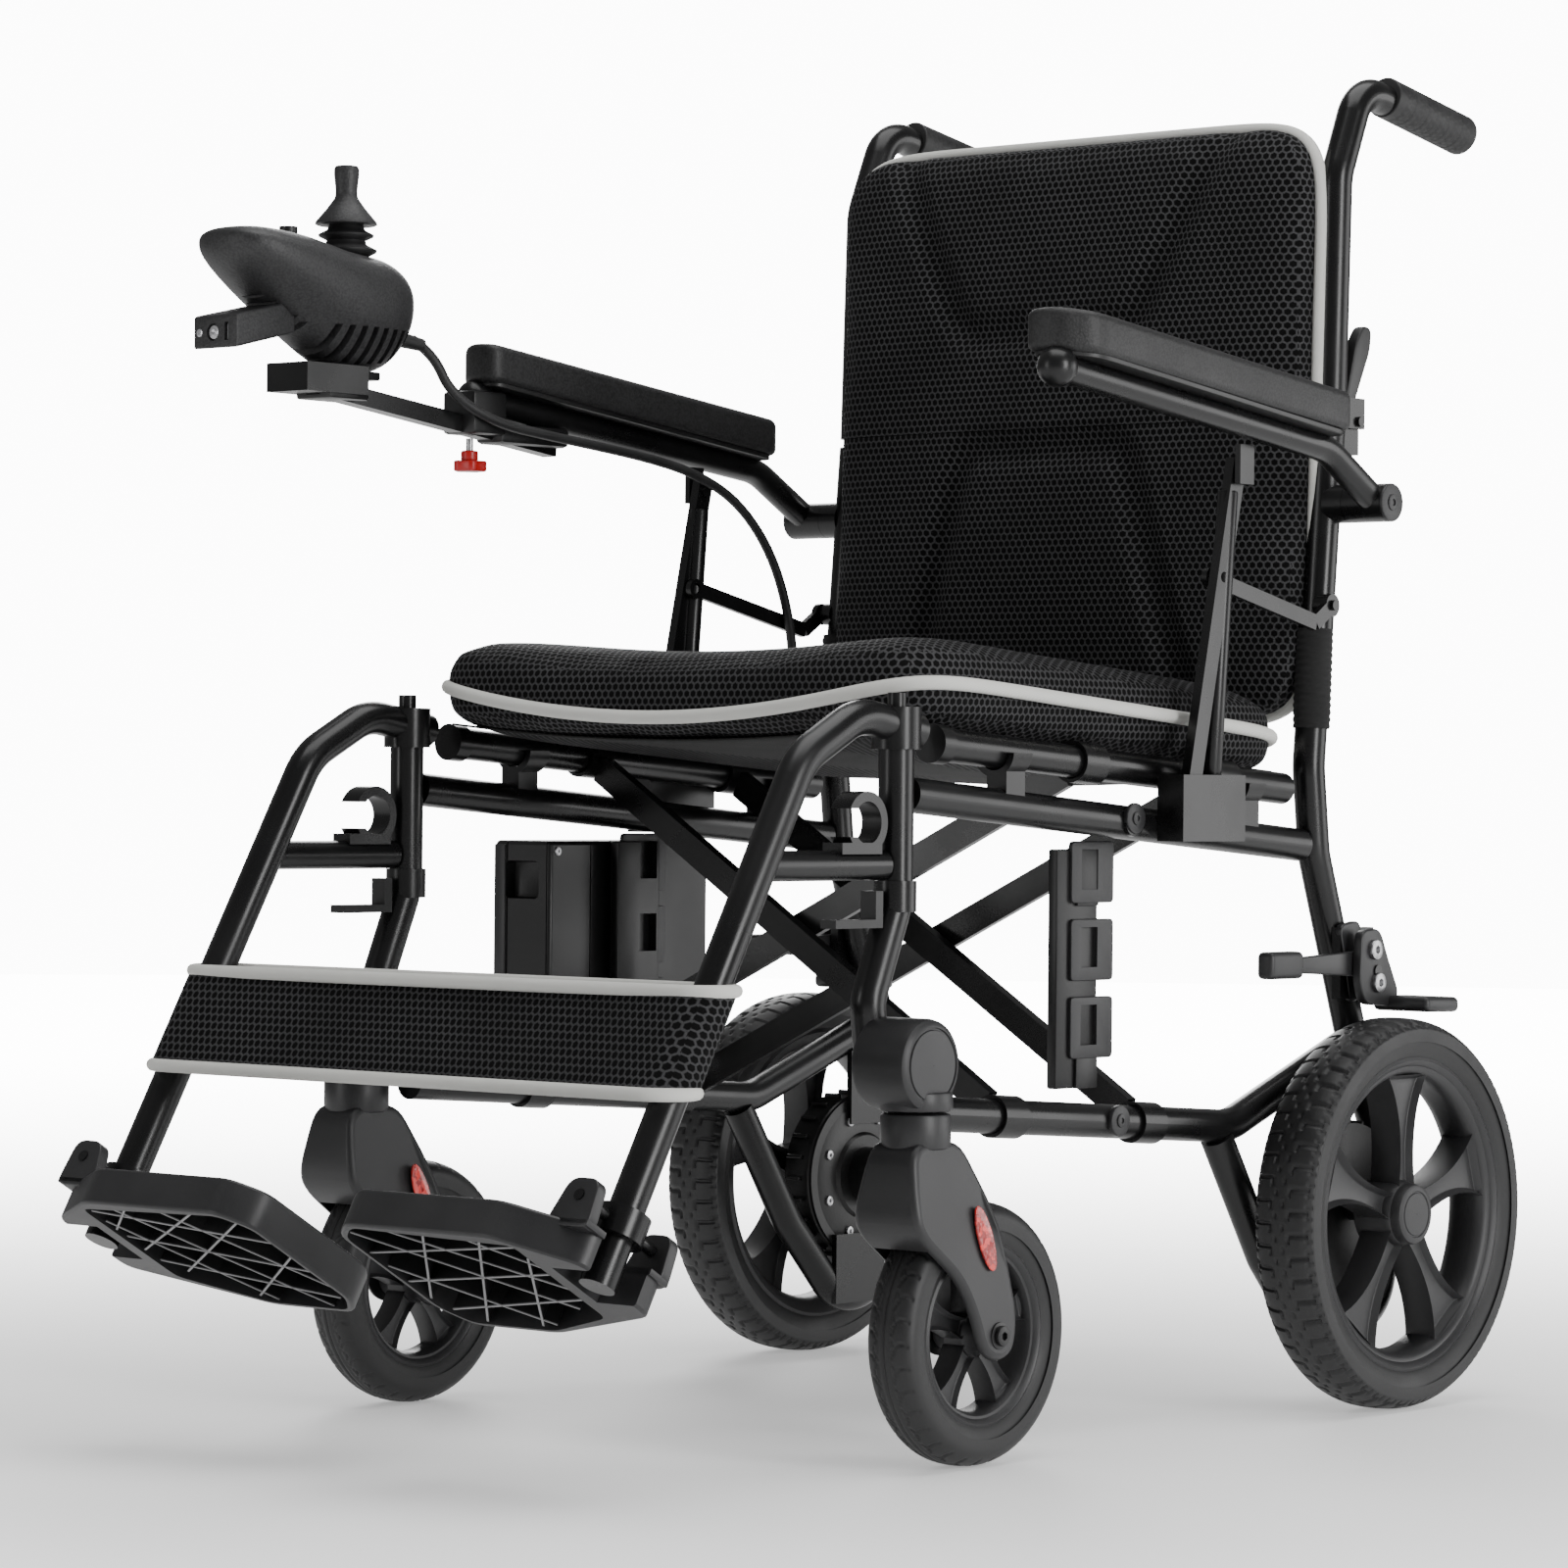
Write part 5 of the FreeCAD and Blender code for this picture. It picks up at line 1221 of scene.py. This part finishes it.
for k in range(7):  # grip ridges on the top face
    y = -0.046 + 0.0175 * k
    treads.append(box("tread", (-0.180, y, 0.0275), (-0.052, y + 0.006, 0.0292), 0.0008, 2))
footWhole = smooth(joined([foot, web, *lugs, *treads], "footplate"), 35)


def ribRun(name, start, end, low, high, half):  # one upright rib between two plan points
    run = Vector((end[0] - start[0], end[1] - start[1], 0))
    side = Vector((-run.y, run.x, 0)).normalized() * half
    rib = box(name, (-0.5, -0.5, low), (0.5, 0.5, high))
    for vert in rib.data.vertices:
        base = Vector((*start, 0)) if vert.co.x < 0 else Vector((*end, 0))
        spot = base + side * (1 if vert.co.y > 0 else -1)
        vert.co = (spot.x, spot.y, vert.co.z)
    return cleaned(rib)


crossing = [((-0.036, -0.050), (-0.194, -0.020)), ((-0.036, -0.010), (-0.194, 0.024)),
            ((-0.036, 0.028), (-0.186, 0.066)),
            ((-0.110, -0.062), (-0.194, 0.050)), ((-0.060, -0.060), (-0.166, 0.082)),
            ((-0.036, -0.034), (-0.112, 0.080)),
            ((-0.186, -0.052), (-0.050, 0.044)), ((-0.150, -0.062), (-0.034, 0.012)),
            ((-0.194, 0.000), (-0.096, 0.076)),
            ((-0.080, -0.060), (-0.034, -0.020))]
# the ribs take darker black plastic than the grey tray they belong to: painted shade in the recess under the tray
ribs = joined([ribRun("rib", a, b, 0.0022, 0.0240, 0.0007) for a, b in crossing], "footRibs")
# thin light grey strips along the ribs' lower edges: a painted highlight
ribEdgeHighlights = joined([ribRun("ribEdge", a, b, 0.0014, 0.0022, 0.0008) for a, b in crossing], "footRibEdgeHighlights")
for obj, look, label in ((footWhole, "greyPlastic", "footplate"), (ribs, "darkPlastic", "footRibs"),
                         (ribEdgeHighlights, "ribEdge", "footRibEdgeHighlights")):
    obj.data.transform(footFrame)
    keepPair(obj, label, "footplate", look, *(["footplate"] if label == "footplate" else []))
print("footplates")
# battery and the latch plates on both side frames

packLow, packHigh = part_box("battery")
pack = plate("pack", [(packLow[0], packHigh[2]), (packLow[0], packLow[2]), (packHigh[0] - 0.027, packLow[2]),
                      (packHigh[0] - 0.027, packLow[2] + 0.027), (packHigh[0], packLow[2] + 0.027),
                      (packHigh[0], packHigh[2])],
             packLow[1], packHigh[1])
for vert in pack.data.vertices:
    vert.co = (vert.co.y, vert.co.x, vert.co.z)
cleaned(pack)
modify(pack, "BEVEL", width=0.0035, segments=3, limit_method="ANGLE", angle_limit=math.radians(50))
for x, wide in ((packLow[0] + 0.0135, 0.0012), (packHigh[0] - 0.004, 0.0010)):
    carve(pack, box("groove", (x, packLow[1] - 0.01, packLow[2] - 0.01),
                    (x + wide, packLow[1] + 0.0016, packHigh[2] + 0.01)))
for y in (0.052, 0.118):  # lid seams on the inboard face
    carve(pack, box("groove", (packHigh[0] - 0.0016, y, packLow[2] + 0.03),
                    (packHigh[0] + 0.01, y + 0.0012, packHigh[2] + 0.01)))
carve(pack, box("handle", (packLow[0] + 0.012, packLow[1] - 0.01, packHigh[2] - 0.046),
                (packHigh[0] - 0.012, packLow[1] + 0.012, packHigh[2] - 0.016), 0.004))
keep(smooth(pack, 35), "batteryPack", "battery", "darkPlastic", "battery")
panel = box("panel", (packLow[0] + 0.0010, packLow[1] - 0.0016, packLow[2] + 0.003),
            (packLow[0] + 0.0125, packLow[1] + 0.001, packHigh[2] - 0.003), 0.0012)
corners = [socketBolt("packScrew", (packHigh[0] - 0.0006, y, z), 0.0036, 0.0016)
           for y in (0.014, 0.186) for z in (0.300, 0.428)]
keep(smooth(panel), "batteryEdge", "battery", "greyPlastic")
keep(joined(corners, "batteryScrews"), "batteryScrews", "battery", "steel")

dockLow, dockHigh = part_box("battery_dock_left")
dockPlate = box("dockPlate", (dockLow[0], dockLow[1], dockLow[2]),
                (dockHigh[0] - 0.003, dockLow[1] + 0.050, dockHigh[2]), 0.0015)
brackets = []
for k in range(3):
    low = dockLow[2] + 0.022 + 0.058 * k
    frameOutline = closedRound([(dockLow[1] + 0.014, low), (dockHigh[1], low), (dockHigh[1], low + 0.046),
                                (dockLow[1] + 0.014, low + 0.046)], 0.004, 3)
    bracket = plate("bracket", frameOutline, dockHigh[0] - 0.004, dockHigh[0], 0.0008)
    carve(bracket, box("window", (dockLow[0] - 0.02, dockLow[1] + 0.026, low + 0.010),
                       (dockHigh[0] + 0.02, dockLow[1] + 0.046, low + 0.040)))
    carve(dockPlate, box("window", (dockLow[0] - 0.02, dockLow[1] + 0.026, low + 0.010),
                         (dockHigh[0] - 0.004, dockLow[1] + 0.046, low + 0.040)))
    brackets.append(bracket)
strips = [box("dockStrip", (dockHigh[0] - 0.004, dockLow[1] + 0.022, low),
              (dockHigh[0] - 0.0005, dockLow[1] + 0.048, high), 0.0006)
          for low, high in ((dockLow[2], dockLow[2] + 0.024), (dockHigh[2] - 0.042, dockHigh[2]))]
keepPair(smooth(joined([dockPlate, *strips], "dockPlate")), "dockPlate", "left_frame", "darkPlastic",
         "battery_dock")
keepPair(smooth(joined(brackets, "dockBrackets")), "dockBrackets", "left_frame", "greyPlastic")
print("battery and docks")

# parking brake, motor cover, bolts and small fittings on the side frames

brake = {"y": 0.414, "z": 0.340, "bolts": ((0.409, 0.357), (0.414, 0.331))}
leverArm = plate("leverArm", closedRound([(0.318, 0.3400), (0.318, 0.3520), (0.404, 0.3560), (0.424, 0.352),
                                          (0.430, 0.336),
                                          (0.460, 0.318), (0.460, 0.306), (0.420, 0.318), (0.400, 0.3360)],
                                          0.006, 4), 0.2605, 0.2675, 0.0012)
carve(leverArm, rod("eye", (0.25, brake["y"], brake["z"]), (0.28, brake["y"], brake["z"]), 0.0056, sides=32))
paddle = box("paddle", (0.2555, 0.278, 0.3360), (0.2710, 0.322, 0.3570), 0.0042, 4)
shoe = box("shoe", (0.2605, 0.430, 0.3085), (0.3130, 0.477, 0.3205), 0.0045, 4)
for vert in shoe.data.vertices:  # dished to the tyre
    vert.co.z -= 0.504 * (vert.co.y - 0.430) ** 2
keepPair(smooth(joined([leverArm, paddle, shoe], "brakeLever"), 35), "brakeLever", "brake", "greyPlastic",
         "brake_lever")
bracket = plate("brakeBracket",
                closedRound([(0.392, 0.372), (0.418, 0.374), (0.430, 0.350), (0.446, 0.322), (0.436, 0.312),
                                             (0.398, 0.314), (0.390, 0.330)], 0.009, 5), 0.2685, 0.2765,
                                             0.0016)
band1 = plate("brakeBand", closedRound([(0.386, 0.376), (0.414, 0.380), (0.428, 0.322), (0.402, 0.314)],
                                       0.008, 4), 0.2540, 0.2600, 0.0014)
keepPair(smooth(joined([bracket, band1], "brakeBracket"), 35), "brakeBracket", "left_frame", "greyPlastic")
bolts = [socketBolt("brakeBolt", (0.2760, y, z), 0.0078, 0.0042) for y, z in brake["bolts"]]
keepPair(joined(bolts, "brakeBolts"), "brakeBolts", "left_frame", "steel")

railBolts = []
for y, z in ((0.104, 0.235), (0.120, 0.4595)):
    railBolts.append(rod("boltPlate", (0.2525, y, z), (0.2570, y, z), 0.0115, 0.0010, 40))
    railBolts.append(socketBolt("railBolt", (0.2565, y, z), 0.0052, 0.0018))
keepPair(smooth(joined(railBolts, "railBolts"), 35), "railBolts", "left_frame", "greyPlastic")
bossCap = [rod("bossCap", (0.3005, 0.388, 0.706), (0.3040, 0.388, 0.706), 0.0150, 0.0012, 48),
           rod("bossNut", (0.3035, 0.388, 0.706), (0.3050, 0.388, 0.706), 0.0066, 0.0005, 40)]
carve(bossCap[1], rod("key", (0.3030, 0.388, 0.706), (0.3100, 0.388, 0.706), 0.0030, sides=6))
keepPair(smooth(joined(bossCap, "armCap"), 35), "armCap", "arm", "greyPlastic")

motorProfile = [(0.2325, 0.0003), (0.2325, 0.0200), (0.2295, 0.0230), (0.2295, 0.0340), (0.2325, 0.0365),
                (0.2325, 0.0590),
                (0.2345, 0.0625), (0.2345, 0.0670), (0.2370, 0.0690), (0.2400, 0.0690), (0.2400, 0.0003)]
motor = {"y": 0.402, "z": 0.1525, "studs": 8, "studRing": 0.050, "fins": 24}
cover = spun("motorCover", motorProfile, (0, motor["y"], motor["z"]), 72)
studs = []
for k in range(motor["studs"]):
    angle = 2 * math.pi * (k + 0.5) / motor["studs"]
    spot = (0.2330, motor["y"] + motor["studRing"] * math.cos(angle),
            motor["z"] + motor["studRing"] * math.sin(angle))
    studs.append(socketBolt("stud", spot, 0.0042, 0.0030, -1))
fins = []
for k in range(motor["fins"]):
    angle = 2 * math.pi * k / motor["fins"]
    fin = box("fin", (0.2440, -0.0016, 0.0660), (0.2600, 0.0016, 0.0712), 0.0006, 1)
    fins.append(turned(fin, "fin%d" % k, angle, (0, 0, 0)))
    only(fin)
    bpy.ops.object.delete()
for fin in fins:
    for vert in fin.data.vertices:
        vert.co.y += motor["y"]
        vert.co.z += motor["z"]
keepPair(smooth(joined([cover, *fins], "motorCover"), 30), "motorCover", "left_frame", "motorBlack")
keepPair(joined(studs, "motorStuds"), "motorStuds", "left_frame", "steel")

# ribbed cloth sleeves low on the rear posts, release levers on the canes
sleeveSize = {"x": 0.241, "y": 0.3712, "slope": 0.0033, "low": 0.530, "high": 0.608, "radius": 0.0146,
              "ribs": 14}
sleeveLong = sleeveSize["high"] - sleeveSize["low"]
sleeve = rod("sleeve", (sleeveSize["x"], sleeveSize["y"], sleeveSize["low"]),
             (sleeveSize["x"], sleeveSize["y"] + sleeveSize["slope"], sleeveSize["high"]),
             sleeveSize["radius"], 0.0)
pick(sleeve, lambda middle, along: abs(along.z) > 0.9, "EDGE")
bpy.ops.mesh.subdivide(number_cuts=55)
leave()
for vert in sleeve.data.vertices:
    share = (vert.co.z - sleeveSize["low"]) / sleeveLong
    ribWave = 0.030 * math.sin(share * math.pi * 2 * sleeveSize["ribs"])
    swell = 1 + ribWave - 0.04 * (abs(share - 0.5) * 2) ** 12
    middleY = sleeveSize["y"] + sleeveSize["slope"] * share
    vert.co.x = sleeveSize["x"] + (vert.co.x - sleeveSize["x"]) * swell
    vert.co.y = middleY + (vert.co.y - middleY) * swell
keepPair(smooth(sleeve, 60), "postSleeve", "left_frame", "plainCloth")
release = plate("release", closedRound([(0.4060, 0.7420), (0.4200, 0.7460), (0.4420, 0.7900),
                                        (0.4440, 0.8080), (0.4320, 0.8100),
                                        (0.4220, 0.7960)], 0.007, 5), 0.2360, 0.2460, 0.0018)
for vert in release.data.vertices:
    vert.co.z += 0.040
keepPair(smooth(release, 35), "backRelease", "back", "darkPlastic")

# the arm posts are a round tube with the flat strip on its outer side
postTube = {"x": 0.2655, "foot": (0.2020, 0.4880), "head": (0.2210, 0.7080), "radius": 0.0078}
keepPair(rod("postTube", (postTube["x"], *postTube["foot"]), (postTube["x"], *postTube["head"]),
             postTube["radius"],
             0.0015, 32), "armPostTube", "arm_post", "frameBlack")
relief = rod("leadRelief", (-0.288, -0.124, 0.8275), (-0.2832, -0.0900, 0.8222), 0.0070, sides=32,
             radiusEnd=0.0050)
keep(smooth(relief), "leadRelief", "controller", "gripRubber")
print("small fittings")


# camera, floor and lights

cameraValues = {"place": (2.5768, -3.0437, 0.4833), "azimuth": 40.094, "elevation": 0.010, "roll": 0.534,
                "lens": 120.693, "sensor": 36.0}
turnAngle = math.radians(cameraValues["azimuth"])
tiltAngle = math.radians(cameraValues["elevation"])
backward = Vector((math.sin(turnAngle) * math.cos(tiltAngle), -math.cos(turnAngle) * math.cos(tiltAngle),
                   math.sin(tiltAngle)))
rightward = Vector((0, 0, 1)).cross(backward).normalized()
upward = backward.cross(rightward)
rollAngle = math.radians(cameraValues["roll"])
rolledRight = rightward * math.cos(rollAngle) + upward * math.sin(rollAngle)
rolledUp = upward * math.cos(rollAngle) - rightward * math.sin(rollAngle)
clearSelection()
bpy.ops.object.camera_add(location=cameraValues["place"])
camera = bpy.context.object
camera.matrix_world = Matrix((
    (rolledRight.x, rolledUp.x, backward.x, cameraValues["place"][0]),
    (rolledRight.y, rolledUp.y, backward.y, cameraValues["place"][1]),
    (rolledRight.z, rolledUp.z, backward.z, cameraValues["place"][2]), (0, 0, 0, 1)))
camera.data.lens = cameraValues["lens"]
camera.data.sensor_width = cameraValues["sensor"]
camera.data.clip_end = 200
bpy.context.scene.camera = camera

clearSelection()
bpy.ops.mesh.primitive_circle_add(vertices=128, radius=9, fill_type="NGON", location=(0, 0, 0))
floor = bpy.context.object
floor.name = "floor"


def paleFloor(tree, coords):  # fades to plain white far from the chair
    far = makeNode(tree, "ShaderNodeVectorMath", {"operation": "LENGTH"}, [coords], 1)
    seen = makeNode(tree, "ShaderNodeLightPath", out=0)
    fade = far.ramp(0.3, 5.5) * seen
    return {"Base Color": blended(tree, noise(tree, coords, 1.2, 3.0), (0.78, 0.78, 0.78),
                                  (0.82, 0.82, 0.82)),
            "Emission Color": blended(tree, fade, (0.025, 0.025, 0.025), (1.0, 1.0, 1.0))}


floor.data.materials.append(finish("paleFloor", paleFloor, Roughness=0.7, Emission_Strength=14.0))

lamps = {"topSoft": {"place": (0.3, 0.2, 3.6), "aim": (0, 0, 0.4), "size": (3.0, 3.0), "power": 90},
         "outerSide": {"place": (3.9, -0.3, 1.3), "aim": (0, 0.1, 0.5), "size": (1.1, 2.4), "power": 95},
         "sideSoft": {"place": (3.0, 3.4, 0.95), "aim": (0.2, 0.0, 0.5), "size": (2.6, 1.9), "power": 50},
         "frontStrip": {"place": (-1.4, -3.9, 1.2), "aim": (0, 0, 0.5), "size": (0.7, 2.2), "power": 22},
         "behind": {"place": (-2.4, 2.6, 1.7), "aim": (0, 0, 0.7), "size": (1.2, 2.2), "power": 60}}
for label, lamp in lamps.items():
    clearSelection()
    bpy.ops.object.light_add(type="AREA", location=lamp["place"])
    light = bpy.context.object
    light.name = label
    light.data.shape = "RECTANGLE"
    light.data.size, light.data.size_y = lamp["size"]
    light.data.energy = lamp["power"]
    light.rotation_euler = (Vector(lamp["aim"]) - Vector(lamp["place"])).to_track_quat("-Z", "Y").to_euler()
world = bpy.data.worlds.new("studio")
bpy.context.scene.world = world
world.use_nodes = True
backdrop = world.node_tree.nodes["Background"]
backdrop.inputs["Color"].default_value = (1, 1, 1, 1)
seen = makeNode(world.node_tree, "ShaderNodeLightPath")
world.node_tree.links.new((0.22 + 12.0 * seen).socket, backdrop.inputs["Strength"])
print("camera, floor and lights")
